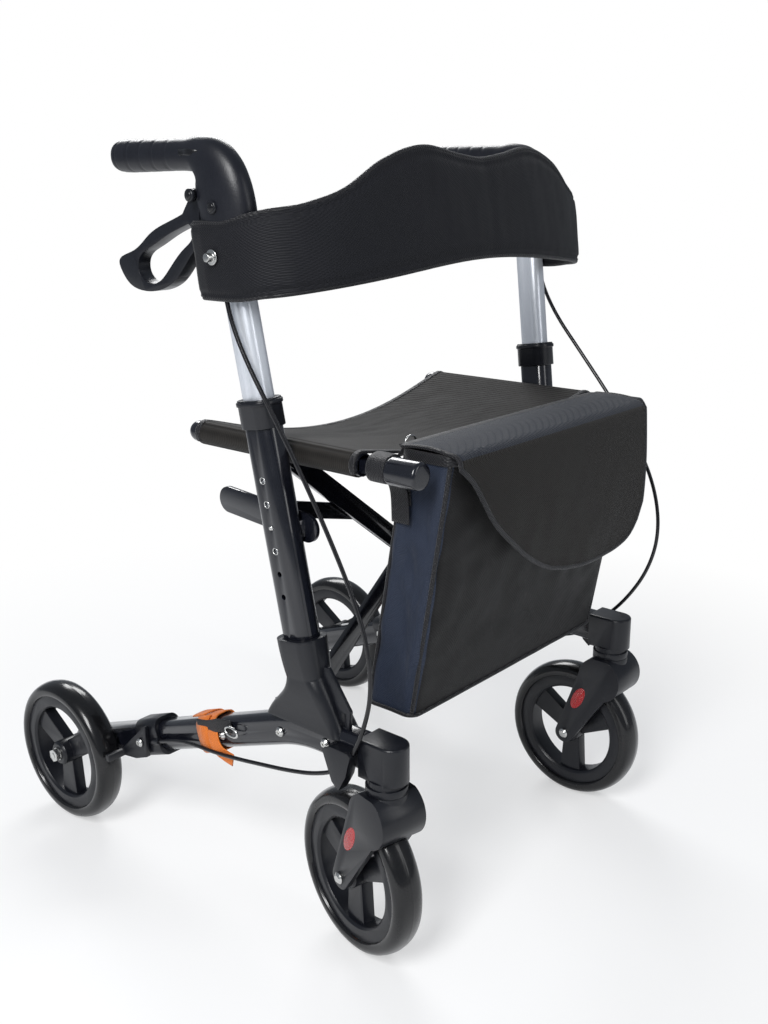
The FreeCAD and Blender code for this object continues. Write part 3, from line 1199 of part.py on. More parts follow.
HOOK_Y = -256.0
CABLE_HOOK = [V(-264, -267, 264), V(-264.5, -249, 243)]
CABLE_END = along_beam(BRAKE_Y - 27, -BEAM_OUTER - 6.5, -3)
RIGHT_CABLE = [
    CABLE_TOP, V(-288.8, -128, 739), V(-287, -150, 692), V(-282, -181, 640), V(-273, -208, 585),
    V(-264, -238, 520), V(-257, -266, 455), V(-254, -285, 400), V(-256, -292, 345), V(-262, -284, 300),
    CABLE_HOOK[0], CABLE_HOOK[1], V(-265.5, -212, 226), V(-266, -168, 215), V(-266, -125, 207),
    V(-265, -80, 198), V(-264, -35, 191), V(-263.5, 5, 188), V(-262.5, 42, 180), CABLE_END]
LEFT_CABLE = [
    across(CABLE_TOP), V(289.5, -128, 739), V(293, -152, 690), V(298, -195, 637), V(298, -242, 583),
    V(295, -290, 525), V(291, -325, 465), V(287, -338, 405), V(282, -328, 350), V(274, -300, 300),
    across(CABLE_HOOK[0]), across(CABLE_HOOK[1]), V(265.5, -212, 226), V(266, -168, 215), V(266, -125, 207),
    V(265, -80, 198), V(264, -35, 191), V(263.5, 5, 188), V(262.5, 42, 180), across(CABLE_END)]
feature(cable_tube(RIGHT_CABLE, size("cable_radius")), "right_brake_cable")
feature(cable_tube(LEFT_CABLE, size("cable_radius")), "left_brake_cable")


# ---------------------------------------------------------------- kerb hook that guides the cable

def kerb_hook(cable_room):
    x = -BEAM_OUTER - 15
    z = size("beam_front_z")
    outline = Part.makePolygon([
        V(x, HOOK_Y + 26, z + 2), V(x, HOOK_Y + 14, z + 8), V(x, HOOK_Y - 12, z + 8), V(x, HOOK_Y - 16, z + 4),
        V(x, HOOK_Y - 9, z - 22), V(x, HOOK_Y + 2, z - 42), V(x, HOOK_Y + 12, z - 34), V(x, HOOK_Y + 26, z + 2)])
    block = Part.Face(outline).extrude(V(14.8, 0, 0))
    block = block.cut(cable_room).cut(head_clear(bolt_ys[2]))
    return max(block.Solids, key=lambda solid: solid.Volume)


def head_clear(y):
    return Part.makeCylinder(size("bolt_head") + 0.5, 30, V(-BEAM_OUTER - 0.5, y, beam_at(y) - 1.0), V(-1, 0, 0))


hook_room = cable_tube(RIGHT_CABLE, size("cable_radius") + size("soft_gap"))
feature(kerb_hook(hook_room), "right_kerb_hook")
left_room = cable_tube(LEFT_CABLE, size("cable_radius") + size("soft_gap"))
left_room = left_room.mirror(V(0, 0, 0), V(1, 0, 0))
feature(kerb_hook(left_room).mirror(V(0, 0, 0), V(1, 0, 0)), "left_kerb_hook")

# ---------------------------------------------------------------- tie strap

def tie_strap():
    """Webbing tied round the right beam, as a plain band."""
    gap = size("soft_gap")
    web = 1.6
    width = 25.0
    y = -18.0
    rings = []
    for extra in (gap + web, gap):
        section = Part.Face(rounded_box_wire(size("beam_width") + 2 * extra, size("beam_height") + 2 * extra, 11 + extra))
        solid = section.extrude(V(0, 0, width))
        solid.translate(V(0, 0, -width / 2))
        solid.rotate(V(0, 0, 0), V(1, 0, 0), 90 - math.degrees(SLOPE))
        solid.translate(V(-size("beam_x"), y, beam_at(y)))
        rings.append(solid)
    return rings[0].cut(rings[1])


feature(tie_strap(), "tie_strap")

parts_folder = "parts"
os.makedirs(parts_folder, exist_ok=True)
doc.recompute()
for obj in doc.Objects:
    if "Invalid" in obj.State or "Error" in obj.State:
        raise RuntimeError("%s: %s" % (obj.Label, obj.State))
for obj in parts:
    if obj.Shape.isNull() or not obj.Shape.isValid():
        raise RuntimeError("bad shape: " + obj.Label)
for obj in parts:
    obj.Shape.exportStep("%s/%s.step" % (parts_folder, obj.Label))
print(len(parts), "parts written")
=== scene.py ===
# %% [markdown]
# # Folding rollator walker
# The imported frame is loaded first.  Soft goods, grips, tyres and cables are then modelled round it.

# %% Load the frame
import json
import math
import random

import bmesh
import bpy
from mathutils import Matrix, Vector, noise

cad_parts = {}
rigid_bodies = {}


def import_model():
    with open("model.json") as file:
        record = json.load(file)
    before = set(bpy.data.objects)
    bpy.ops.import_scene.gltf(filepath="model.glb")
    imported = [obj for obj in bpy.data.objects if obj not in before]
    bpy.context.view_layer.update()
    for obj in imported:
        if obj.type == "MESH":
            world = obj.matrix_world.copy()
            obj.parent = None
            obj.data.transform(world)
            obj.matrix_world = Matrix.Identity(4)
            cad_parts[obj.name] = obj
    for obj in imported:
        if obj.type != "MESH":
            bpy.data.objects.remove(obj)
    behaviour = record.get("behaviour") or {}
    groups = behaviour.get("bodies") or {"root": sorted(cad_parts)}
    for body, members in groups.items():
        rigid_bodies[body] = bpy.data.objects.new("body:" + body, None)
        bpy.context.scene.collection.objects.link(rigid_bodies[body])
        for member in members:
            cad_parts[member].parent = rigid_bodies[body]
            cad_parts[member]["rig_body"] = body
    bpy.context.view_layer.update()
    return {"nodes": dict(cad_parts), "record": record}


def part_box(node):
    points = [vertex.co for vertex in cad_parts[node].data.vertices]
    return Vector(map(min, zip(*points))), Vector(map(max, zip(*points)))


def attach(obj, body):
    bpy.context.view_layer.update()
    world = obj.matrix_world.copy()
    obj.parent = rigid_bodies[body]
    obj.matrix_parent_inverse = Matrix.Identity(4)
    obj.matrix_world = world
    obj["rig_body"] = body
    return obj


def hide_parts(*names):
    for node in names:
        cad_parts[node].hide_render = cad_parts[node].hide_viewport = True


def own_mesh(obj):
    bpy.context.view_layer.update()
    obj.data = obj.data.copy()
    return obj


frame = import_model()
NODES = frame["nodes"]
SIDES = (("right", -1), ("left", 1))
print(len(NODES), "nodes")


# %% [markdown]
# ## Materials
# A small wrapper lets shader maths be written as ordinary arithmetic.

# %% Shader maths
class Value:
    def __init__(self, tree, socket):
        self.tree = tree
        self.socket = socket

    def math(self, kind, other=None):
        node = self.tree.nodes.new("ShaderNodeMath")
        node.operation = kind
        put(self.tree, self, node.inputs[0])
        if other is not None:
            put(self.tree, other, node.inputs[1])
        return Value(self.tree, node.outputs[0])

    def __add__(self, other): return self.math("ADD", other)
    def __sub__(self, other): return self.math("SUBTRACT", other)
    def __mul__(self, other): return self.math("MULTIPLY", other)
    def sine(self): return self.math("SINE")
    def size(self): return self.math("ABSOLUTE")
    def above(self, other): return self.math("GREATER_THAN", other)


def put(tree, value, socket):
    """Link a Value to a socket, or set the socket to a plain number."""
    if isinstance(value, Value):
        tree.links.new(value.socket, socket)
    else:
        socket.default_value = value


def texture(tree, coord, kind, scale, detail=2.0):
    node = tree.nodes.new(kind)
    node.inputs["Scale"].default_value = scale
    if "Detail" in node.inputs:
        node.inputs["Detail"].default_value = detail
    tree.links.new(coord, node.inputs["Vector"])
    return Value(tree, node.outputs[0])


def mix_colour(tree, share, a, b):
    node = tree.nodes.new("ShaderNodeMix")
    node.data_type = "RGBA"
    put(tree, share, node.inputs[0])
    put(tree, a if isinstance(a, Value) else (*a, 1), node.inputs[6])
    put(tree, b if isinstance(b, Value) else (*b, 1), node.inputs[7])
    return Value(tree, node.outputs[2])


def material(name, low, high, rough, metal=0.0, coat=0.0, grain=40.0, weave=None, depth=0.0, sheen=0.0, rib=None,
             spread=0.08, shine=0.32, zone=None):
    """A procedural surface: colour and roughness drift with noise; cloth adds a woven bump.

    The last argument is a painted sheen: another, lighter pair of colours beyond a limit on one axis: (axis, limit in
    metres, low, high).
    """
    mat = bpy.data.materials.new(name)
    mat.use_nodes = True
    tree = mat.node_tree
    shader = tree.nodes["Principled BSDF"]
    shader.inputs["Metallic"].default_value = metal
    shader.inputs["Coat Weight"].default_value = coat
    shader.inputs["Coat Roughness"].default_value = 0.08
    shader.inputs["Specular IOR Level"].default_value = 0.5 if metal else shine
    shader.inputs["Sheen Weight"].default_value = sheen
    shader.inputs["Sheen Roughness"].default_value = 0.4
    coord = tree.nodes.new("ShaderNodeTexCoord").outputs["Object"]
    soft = texture(tree, coord, "ShaderNodeTexNoise", grain, 4.0)
    fine = texture(tree, coord, "ShaderNodeTexNoise", grain * 12, 2.0)
    share = soft * 0.65 + fine * 0.35
    height = fine
    if weave or rib:
        split = tree.nodes.new("ShaderNodeSeparateXYZ")
        tree.links.new(coord, split.inputs[0])
        x, y, z = (Value(tree, split.outputs[i]) for i in range(3))
        if rib:
            lines = ((x * 1.0 + z * 0.25) * (2 * math.pi / rib)).sine()
            cross = (y * (2 * math.pi / (rib * 0.45))).sine()
            threads = lines * 0.75 + cross * 0.25
        else:
            step = 2 * math.pi / weave
            threads = ((x + y) * step).sine() * ((z - x * 0.1) * step).sine()
        share = share * 0.6 + threads * 0.22 + 0.2
        height = threads * 0.8 + soft * 0.5
    colour = mix_colour(tree, share, low, high)
    # Painted sheen: beyond the limit the colour is mixed from a second, lighter pair of colours.
    if zone:
        axis, limit, sheen_paint_low, sheen_paint_high = zone
        painted_sheen_mask = (x, y, z)[axis].size().above(limit)
        colour = mix_colour(tree, painted_sheen_mask, colour, mix_colour(tree, share, sheen_paint_low, sheen_paint_high))
    tree.links.new(colour.socket, shader.inputs["Base Color"])
    tree.links.new((soft * spread * 2 + (rough - spread)).socket, shader.inputs["Roughness"])
    if depth:
        bump = tree.nodes.new("ShaderNodeBump")
        bump.inputs["Strength"].default_value = 0.6
        bump.inputs["Distance"].default_value = depth
        tree.links.new(height.socket, bump.inputs["Height"])
        tree.links.new(bump.outputs[0], shader.inputs["Normal"])
    return mat


# %% The finishes
MATS = {
    "black_paint": material("black_paint", (0.003, 0.0035, 0.006), (0.007, 0.008, 0.013), 0.24, coat=0.7, depth=0.0001),
    "bright_steel": material("bright_steel", (0.46, 0.46, 0.45), (0.72, 0.72, 0.70), 0.26, metal=1.0),
    "silver_tube": material("silver_tube", (0.66, 0.69, 0.74), (0.78, 0.81, 0.86), 0.36, metal=0.55, grain=18),
    "black_plastic": material("black_plastic", (0.0035, 0.004, 0.006), (0.009, 0.010, 0.014), 0.33, depth=0.00015,
                              shine=0.42),
    "grip_rubber": material("grip_rubber", (0.0035, 0.004, 0.007), (0.009, 0.010, 0.015), 0.38, depth=0.0002,
                            shine=0.42),
    "tyre_rubber": material("tyre_rubber", (0.003, 0.003, 0.0035), (0.008, 0.008, 0.009), 0.25, coat=0.35, spread=0.1),
    "red_reflector": material("red_reflector", (0.16, 0.002, 0.003), (0.62, 0.012, 0.014), 0.12, coat=0.6,
                              weave=0.0030, depth=0.0010),
    "cable_jacket": material("cable_jacket", (0.003, 0.003, 0.004), (0.008, 0.008, 0.010), 0.26, coat=0.3),
    # The bag's side panels, beyond 0.183 m across, are painted lighter and bluer: a painted sheen on the same black
    # cloth.
    "bag_fabric": material("bag_fabric", (0.0022, 0.0020, 0.0022), (0.0075, 0.0070, 0.0072), 0.52, weave=0.0028,
                           depth=0.0004, sheen=0.06, shine=0.2,
                           zone=(0, 0.183, (0.010, 0.014, 0.026), (0.030, 0.040, 0.066))),
    # The flap's top, over the bag's mouth, is painted lighter and bluer: a painted sheen of the light falling on it.
    "flap_fabric": material("flap_fabric", (0.0050, 0.0044, 0.0038), (0.020, 0.0178, 0.0155), 0.70, weave=0.0026,
                            depth=0.0006, sheen=0.12, grain=90, shine=0.15,
                            zone=(2, 0.5985, (0.006, 0.008, 0.013), (0.030, 0.035, 0.048))),
    "seat_mesh": material("seat_mesh", (0.004, 0.0036, 0.0033), (0.034, 0.031, 0.028), 0.70, rib=0.0066,
                          depth=0.0009, sheen=0.06, shine=0.15),
    "band_fabric": material("band_fabric", (0.0025, 0.0028, 0.0042), (0.0095, 0.0100, 0.0135), 0.62, weave=0.0028,
                            depth=0.0005, sheen=0.08, shine=0.2),
    "webbing": material("webbing", (0.003, 0.003, 0.004), (0.014, 0.014, 0.017), 0.50, weave=0.0034, depth=0.0008,
                        sheen=0.12),
    "orange_webbing": material("orange_webbing", (0.50, 0.10, 0.010), (0.86, 0.24, 0.03), 0.60, weave=0.0036,
                               depth=0.0009, sheen=0.15),
}
print(len(MATS), "materials")


# %% [markdown]
# ## Mesh helpers

# %% Helpers
def mm(x, y, z):
    return Vector((x, y, z)) / 1000


def finish_mesh(name, verts, faces, mat, smooth=True, merge=0.0):
    mesh = bpy.data.meshes.new(name)
    mesh.from_pydata([tuple(v) for v in verts], [], faces)
    bm = bmesh.new()
    bm.from_mesh(mesh)
    if merge:
        bmesh.ops.remove_doubles(bm, verts=bm.verts, dist=merge)
    bmesh.ops.recalc_face_normals(bm, faces=bm.faces)
    bm.to_mesh(mesh)
    bm.free()
    mesh.shade_smooth() if smooth else None
    obj = bpy.data.objects.new(name, mesh)
    bpy.context.scene.collection.objects.link(obj)
    mesh.materials.append(MATS[mat])
    return obj


def skin(name, rows, mat, closed=True, caps=True, loop=False):
    """A surface through rows of points.  closed: each row is a ring.  loop: last row joins the first."""
    count = len(rows[0])
    verts = [p for row in rows for p in row]
    faces = []
    around = count if closed else count - 1
    along = len(rows) if loop else len(rows) - 1
    for i in range(along):
        a, b = i * count, ((i + 1) % len(rows)) * count
        for j in range(around):
            k = (j + 1) % count
            faces.append((a + j, a + k, b + k, b + j))
    if caps and closed and not loop:
        faces.append(tuple(range(count - 1, -1, -1)))
        faces.append(tuple(range((len(rows) - 1) * count, len(rows) * count)))
    return finish_mesh(name, verts, faces, mat)


def smooth_line(points, steps=8):
    """Points along a smooth curve through the given ones."""
    out = []
    for i in range(len(points) - 1):
        p0, p1 = points[max(i - 1, 0)], points[i]
        p2, p3 = points[i + 1], points[min(i + 2, len(points) - 1)]
        for s in range(steps):
            t = s / steps
            out.append(0.5 * ((2 * p1) + (p2 - p0) * t + (2 * p0 - 5 * p1 + 4 * p2 - p3) * t * t
                              + (3 * p1 - p0 - 3 * p2 + p3) * t * t * t))
    out.append(points[-1])
    return out


def frames_along(line, up):
    """Centre, tangent, side and normal at each point of a line."""
    out = []
    for i, p in enumerate(line):
        run = (line[min(i + 1, len(line) - 1)] - line[max(i - 1, 0)]).normalized()
        side = run.cross(up).normalized()
        out.append((p, run, side, side.cross(run).normalized()))
        up = side.cross(run)
    return out


def sweep(name, line, width, depth, mat, up=Vector((0, 0, 1)), count=16, power=2.0):
    """A bar with a rounded cross-section along a line.  width and depth may be functions of 0..1."""
    rows = []
    frames = frames_along(line, up)
    for i, (p, run, side, normal) in enumerate(frames):
        t = i / (len(frames) - 1)
        w = width(t) if callable(width) else width
        d = depth(t) if callable(depth) else depth
        row = []
        for j in range(count):
            a = 2 * math.pi * j / count
            c, s = math.cos(a), math.sin(a)
            row.append(p + side * (w * math.copysign(abs(c) ** (2 / power), c))
                       + normal * (d * math.copysign(abs(s) ** (2 / power), s)))
        rows.append(row)
    return skin(name, rows, mat)


def lerp_table(table, t):
    """Value at t from a table of (t, value) pairs."""
    for (a, va), (b, vb) in zip(table, table[1:]):
        if t <= b:
            return va + (vb - va) * max(0.0, (t - a) / (b - a))
    return table[-1][1]


def smooth_table(table, t):
    """Value at t on a smooth curve through (t, value) pairs."""
    t = min(max(t, table[0][0]), table[-1][0])
    last = len(table) - 1
    i = next(k for k in range(last) if t <= table[k + 1][0])
    (xa, a), (xb, b) = table[i], table[i + 1]
    before, after = table[max(i - 1, 0)], table[min(i + 2, last)]
    slope_a = (b - before[1]) / (xb - before[0])
    slope_b = (after[1] - a) / (after[0] - xa)
    u = (t - xa) / (xb - xa)
    span = xb - xa
    return ((2 * u ** 3 - 3 * u * u + 1) * a + (u ** 3 - 2 * u * u + u) * span * slope_a
            + (3 * u * u - 2 * u ** 3) * b + (u ** 3 - u * u) * span * slope_b)


# %% [markdown]
# ## Hard parts
# Each moulded or tube part keeps its exact shape; its sharp edges get the small radius that moulding leaves.

# %% Softened edges
ROUND = {"rear_rim": 1.2, "front_rim": 1.2, "fork": 1.6, "brake_lever": 2.2, "caster_housing": 1.2, "base_socket": 1.6,
         "post_collar": 0.9, "brake_sleeve": 1.5, "brake_shoe": 1.0, "kerb_hook": 1.5, "cross_brackets": 0.8,
         "side_link": 0.6, "seat_rail": 0.8, "cross_bar": 0.9, "frame_bolts": 0.4, "handle_screws": 0.6,
         "rear_axle": 0.6, "front_axle": 0.6, "reflectors": 0.4, "height_button": 0.4, "post": 0.4, "beam": 0.5,
         "upper_tube": 0.4}
SLOTS = {s["node"]: s["material_slot"] for s in frame["record"]["subparts"]}


def softened(node, radius):
    """A copy of one node's mesh with rounded edges, which stands for it."""
    source = NODES[node]
    mesh = source.data.copy()
    mesh.name = node + "_skin"
    bm = bmesh.new()
    bm.from_mesh(mesh)
    bmesh.ops.remove_doubles(bm, verts=bm.verts, dist=1e-5)
    bmesh.ops.dissolve_limit(bm, angle_limit=math.radians(1.0), verts=bm.verts, edges=bm.edges)
    bm.to_mesh(mesh)
    bm.free()
    mesh.materials.clear()
    mesh.materials.append(MATS[SLOTS[node]])
    obj = bpy.data.objects.new(node + "_skin", mesh)
    bpy.context.scene.collection.objects.link(obj)
    bevel = obj.modifiers.new("round", "BEVEL")
    bevel.width = radius / 1000
    bevel.segments = 2
    bevel.limit_method = "ANGLE"
    bevel.angle_limit = math.radians(35)
    bevel.use_clamp_overlap = True
    bevel.harden_normals = False
    graph = bpy.context.evaluated_depsgraph_get()
    done = bpy.data.meshes.new_from_object(obj.evaluated_get(graph))
    obj.modifiers.clear()
    obj.data = done
    done.shade_smooth()
    done.set_sharp_from_angle(angle=math.radians(38))
    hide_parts(node)
    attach(obj, source["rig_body"])
    return obj


SOFT_NODES = {"bag", "bag_flap", "seat_sling", "backrest_band", "tie_strap"}
MODELLED = ("handle", "rear_tyre", "front_tyre", "brake_cable")
for node, source in NODES.items():
    kind = node.replace("right_", "").replace("left_", "").replace("_front", "" if "cross_bar" in node else "_front")
    if node in SOFT_NODES or kind in MODELLED:
        continue
    kind = "cross_bar" if node.startswith("cross_bar_") else kind
    source.data.materials.clear()
    source.data.materials.append(MATS[SLOTS[node]])
    if kind in ROUND:
        softened(node, ROUND[kind])
print("hard parts done")


# %% [markdown]
# ## Tyres
# A rounded tread with a fine moulding line and soft shoulders, turned about each axle.

# %% Tyres
TYRE_PROFILE = [(77.9, 9.5), (82.0, 13.5), (82.4, 17.6), (84.0, 18.9), (88.5, 19.2), (92.5, 18.0), (95.6, 15.4),
                (97.7, 11.6), (99.1, 7.0), (99.8, 2.6), (99.85, 0.7), (100.0, 0.0)]


def tyre(node, centre, yaw):
    half = TYRE_PROFILE
    profile = [(r, -w) for r, w in half] + [(r, w) for r, w in reversed(half[:-1])]
    turn = Matrix.Rotation(math.radians(yaw), 3, "Z")
    rows = []
    steps = 128
    for i in range(steps):
        a = 2 * math.pi * i / steps
        rows.append([mm(*centre) + turn @ mm(w, r * math.cos(a), r * math.sin(a)) for r, w in profile])
    obj = skin(node + "_skin", rows, "tyre_rubber", closed=True, loop=True)
    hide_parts(node)
    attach(obj, NODES[node]["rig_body"])


for name, s in SIDES:
    low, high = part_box(name + "_rear_rim")
    tyre(name + "_rear_tyre", (low + high) * 500, 0)
    low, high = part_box(name + "_front_rim")
    tyre(name + "_front_tyre", (low + high) * 500, -12 if s < 0 else 0)
print("tyres done")


# %% [markdown]
# ## Handles
# The grip's rings and swelling tip run into the bend and the neck that takes the tube.

# %% Handles
HANDLE_LINE = [(269.5, -126, 779), (272.5, -124, 805), (275, -121, 834), (277, -116, 862), (277, -105, 885),
               (277, -87, 896.5), (277, -64, 898), (277, -30, 898), (277, 0, 898), (277, 28, 898), (277, 46, 898),
               (277, 57, 898)]
# Half width and half depth at each share of the line's length.
HANDLE_WIDTH = [(0.0, 19.0), (0.30, 19.2), (0.42, 18.6), (0.55, 16.4), (0.62, 16.4), (0.80, 17.2), (0.93, 17.4),
                (0.97, 15.5), (0.99, 10.5), (1.0, 2.5)]
HANDLE_DEPTH = [(0.0, 29.0), (0.12, 33.0), (0.24, 37.0), (0.34, 35.0), (0.42, 26.5), (0.50, 18.5), (0.58, 16.4),
                (0.80, 17.0), (0.93, 17.2), (0.97, 15.3), (0.99, 10.3), (1.0, 2.5)]
RING_PITCH = 21.0


def handle(side_name, s):
    line = smooth_line([mm(s * x, y, z) for x, y, z in HANDLE_LINE], 14)
    lengths = [0.0]
    for a, b in zip(line, line[1:]):
        lengths.append(lengths[-1] + (b - a).length)
    total = len(line) - 1

    def groove(y):
        if not -52 < y < 50:
            return 0.0
        return 0.75 * max(0.0, math.cos(y * 2 * math.pi / RING_PITCH)) ** 10

    def width(t):
        i = round(t * total)
        return (smooth_table(HANDLE_WIDTH, lengths[i] / lengths[-1]) - groove(line[i].y * 1000)) / 1000

    def depth(t):
        i = round(t * total)
        return (smooth_table(HANDLE_DEPTH, lengths[i] / lengths[-1]) - groove(line[i].y * 1000)) / 1000

    obj = sweep(side_name + "_handle_skin", line, width, depth, "grip_rubber", up=Vector((0, -1, 0)), count=40, power=2.3)
    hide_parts(side_name + "_handle")
    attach(obj, side_name + "_upper")
    for y, z, outer in ((-84, 857.6, 20.0), (-118, 846, 20.0)):
        for step, radius, mat, tag in ((0.0, 6.6, "black_plastic", "seat"), (1.2, 4.6, "cable_jacket", "screw")):
            rows = []
            for out, share in ((-6.0, 1.0), (step, 1.0), (step + 0.8, 0.82)):
                rows.append([mm(s * (277 + outer + out), y + share * radius * math.cos(a), z + share * radius * math.sin(a))
                             for a in (2 * math.pi * i / 24 for i in range(24))])
            disc = skin("%s_handle_%s_%d" % (side_name, tag, -y), rows, mat)
            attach(disc, side_name + "_upper")
    slot_line = [mm(s * 293.2, -68, 900), mm(s * 293.6, -82, 900), mm(s * 293.6, -98, 898.5)]
    recess = sweep(side_name + "_handle_recess", slot_line, 0.0012, 0.0034, "cable_jacket", count=12, power=4)
    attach(recess, side_name + "_upper")
    boss = sweep(side_name + "_cable_stop", [mm(s * 288.5, -122, 771), mm(s * 287.8, -120, 784), mm(s * 284, -118, 797)],
                 0.0042, 0.0042, "black_plastic", up=Vector((0, 1, 0)), count=16)
    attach(boss, side_name + "_upper")


for name, s in SIDES:
    handle(name, s)
print("handles done")


# %% Steel rims of the open height holes
def post_point(s, along, out):
    """A point on a post's outer face: distance along its axis, and how far it stands out."""
    axis = Vector((s * math.tan(math.radians(3.19)), math.tan(math.radians(8.38)), 1)).normalized()
    side = Vector((0.9985 * s, -0.004, -0.0551))
    return mm(s * 243.6, -192.5, 300) + (axis * along + side * (16 + out)) / 1000, axis, side


for name, s in SIDES:
    for along in (265.6, 239.1, 186.1):
        centre, axis, side = post_point(s, along, 0.0)
        cross = side.cross(axis).normalized()
        rows = []
        for radius, out in ((3.2, -1.0), (3.2, 0.35), (4.1, 0.35), (4.4, -0.2), (4.4, -1.0)):
            rows.append([centre + (axis * math.cos(a) * radius + cross * math.sin(a) * radius + side * out) / 1000
                         for a in (2 * math.pi * i / 20 for i in range(20))])
        ring = skin("%s_hole_rim_%d" % (name, along), rows, "bright_steel", loop=True)
        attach(ring, name + "_frame")

# %% [markdown]
# ## Backrest band
# A padded band swept round the fronts of the posts, bound along both edges.

# %% Backrest band
BAND_TOP = [(-300, 818), (-284, 838), (-247, 847), (-206, 861), (-156, 889), (-98, 904), (-40, 896), (0, 892),
            (40, 896), (98, 904), (156, 889), (206, 861), (247, 847), (284, 838), (300, 818)]
BAND_LOW = [(-300, 750), (-280, 760), (-146, 777), (-60, 785), (0, 787), (60, 785), (146, 777), (280, 760), (300, 750)]
BAND_LEAN = math.tan(math.radians(8.38))


def band_plan(share):
    """Plan point of the band, share 0..1 from the right end to the left end."""
    reach, bulge, power = 292.0, 136.0, 2.8
    angle = math.pi * share
    c, s = -math.cos(angle), math.sin(angle)
    x = reach * math.copysign(abs(c) ** (2 / power), c)
    y = -110.8 - bulge * abs(s) ** (2 / power)
    return x, y


def band_mesh():
    columns = []
    raw = [band_plan(i / 400) for i in range(401)]
    raw = [(-292.0, -86.0)] + raw + [(292.0, -86.0)]
    lengths = [0.0]
    for (xa, ya), (xb, yb) in zip(raw, raw[1:]):
        lengths.append(lengths[-1] + math.hypot(xb - xa, yb - ya))
    steps = 220
    index = 0
    for i in range(steps + 1):
        goal = lengths[-1] * i / steps
        while index < len(lengths) - 2 and lengths[index + 1] < goal:
            index += 1
        t = (goal - lengths[index]) / max(lengths[index + 1] - lengths[index], 1e-9)
        columns.append((raw[index][0] + (raw[index + 1][0] - raw[index][0]) * t,
                        raw[index][1] + (raw[index + 1][1] - raw[index][1]) * t))
    rows = []
    count = 44
    for i, (x, y) in enumerate(columns):
        xa, ya = columns[max(i - 1, 0)]
        xb, yb = columns[min(i + 1, steps)]
        run = Vector((xb - xa, yb - ya, 0)).normalized()
        out = Vector((run.y, -run.x, 0))
        top, low = smooth_table(BAND_TOP, x), smooth_table(BAND_LOW, x)
        middle, half = (top + low) / 2, (top - low) / 2
        end = min(1.0, min(i, steps - i) / 5.0)
        crown = (0.55 + 0.45 * end)
        row = []
        for j in range(count):
            a = 2 * math.pi * j / count
            c, s = math.cos(a), math.sin(a)
            z = middle + half * math.copysign(abs(s) ** 0.55, s)
            level = abs(z - middle) / half
            thick = 6.4 * crown * abs(c) ** 0.45 if abs(c) > 1e-6 else 0.0
            if 0.83 < level < 0.93:
                thick *= 0.72
            fold = noise.noise(Vector((x / 38, z / 70, y / 38))) * 1.6 + noise.noise(Vector((x / 15, z / 30, 3))) * 0.7
            fold += 1.3 * math.exp(-((x - 6) / 9) ** 2) * -1.0
            sideways = math.copysign(thick, c) + fold * (0.4 + 0.6 * (1 - level))
            row.append(mm(x, y + (z - 800) * BAND_LEAN, z) + out * sideways / 1000)
        rows.append(row)
    return rows


band_rows = band_mesh()
band = skin("backrest_skin", band_rows, "band_fabric")
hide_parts("backrest_band")
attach(band, "right_upper")
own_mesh(band)
for tag, column in (("top", 11), ("low", 33)):
    line = [row[column] for row in band_rows[1:-1]]
    piping = sweep("backrest_binding_" + tag, line, 0.0036, 0.0030, "webbing", up=Vector((0, 0, 1)), count=14)
    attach(piping, "right_upper")
    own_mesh(piping)
print("band done")


# %% [markdown]
# ## Seat
# Ribbed mesh stretched between the rails, with a bound hem and a sag that grows to the rear.

# %% Seat
def seat_section(y):
    """Cross-section of the seat's cloth from under the right rail to under the left one."""
    rail_x, rail_z, r = 221.6, 585.0, 13.6
    back = (y + 248) / 246
    sag = 26 + 14 * back * back
    line = []
    for i in range(13):
        a = math.radians(-100 + 190 * i / 12)
        line.append((-rail_x - r * math.cos(a), rail_z + r * math.sin(a)))
    span = 44
    for i in range(1, span):
        x = -rail_x + 2 * rail_x * i / span
        u = x / rail_x
        line.append((x, rail_z + r - sag * (1 - u * u) ** 1.15))
    line += [(-x, z) for x, z in reversed(line[:13])]
    return line


def seat_rows(offset):
    rows = []
    for i in range(49):
        y = -248 + 246 * i / 48
        row = []
        for x, z in seat_section(y):
            flat = max(0.0, 1 - abs(x) / 215)
            ripple = noise.noise(Vector((x / 60, y / 22, 5))) * 1.4 * flat
            row.append(mm(x, y, z + ripple - offset * (1 if abs(x) < 205 else 0)))
        rows.append(row)
    return rows


def sheet_mesh(name, top, under, mat):
    """A cloth of two skins closed round its edge."""
    count = len(top[0])
    rows = [list(a) + list(reversed(b)) for a, b in zip(top, under)]
    return skin(name, rows, mat, closed=True, caps=False), count


top_rows = seat_rows(0.0)
seat = skin("seat_skin", top_rows, "seat_mesh", closed=False)
thick = seat.modifiers.new("cloth", "SOLIDIFY")
thick.thickness = 0.0016
thick.offset = 0.0
graph = bpy.context.evaluated_depsgraph_get()
seat.data, old = bpy.data.meshes.new_from_object(seat.evaluated_get(graph)), seat.data
seat.modifiers.clear()
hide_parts("seat_sling")
seat_line = [mm(x, 0, z) for x, z in seat_section(-120)]
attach(seat, "right_rail")
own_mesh(seat)
for y, tag in ((-249, "front"), (-3, "rear")):
    line = [mm(x, y, z) for x, z in seat_section(y)][4:-4]
    hem = sweep("seat_hem_" + tag, line, 0.0042, 0.0019, "webbing", up=Vector((0, 0, 1)), count=12, power=3)
    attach(hem, "right_rail")
    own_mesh(hem)
tab = sweep("seat_front_tab", smooth_line([mm(-156, -240, 580), mm(-157, -252, 584), mm(-158, -262, 596)], 6), 0.0085, 0.0011,
            "webbing", count=12, power=4)
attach(tab, "right_rail")
ring_line = [mm(-158 + 8.5 * math.cos(a), -264.5, 601 + 6.0 * math.sin(a)) for a in (2 * math.pi * i / 24 for i in range(25))]
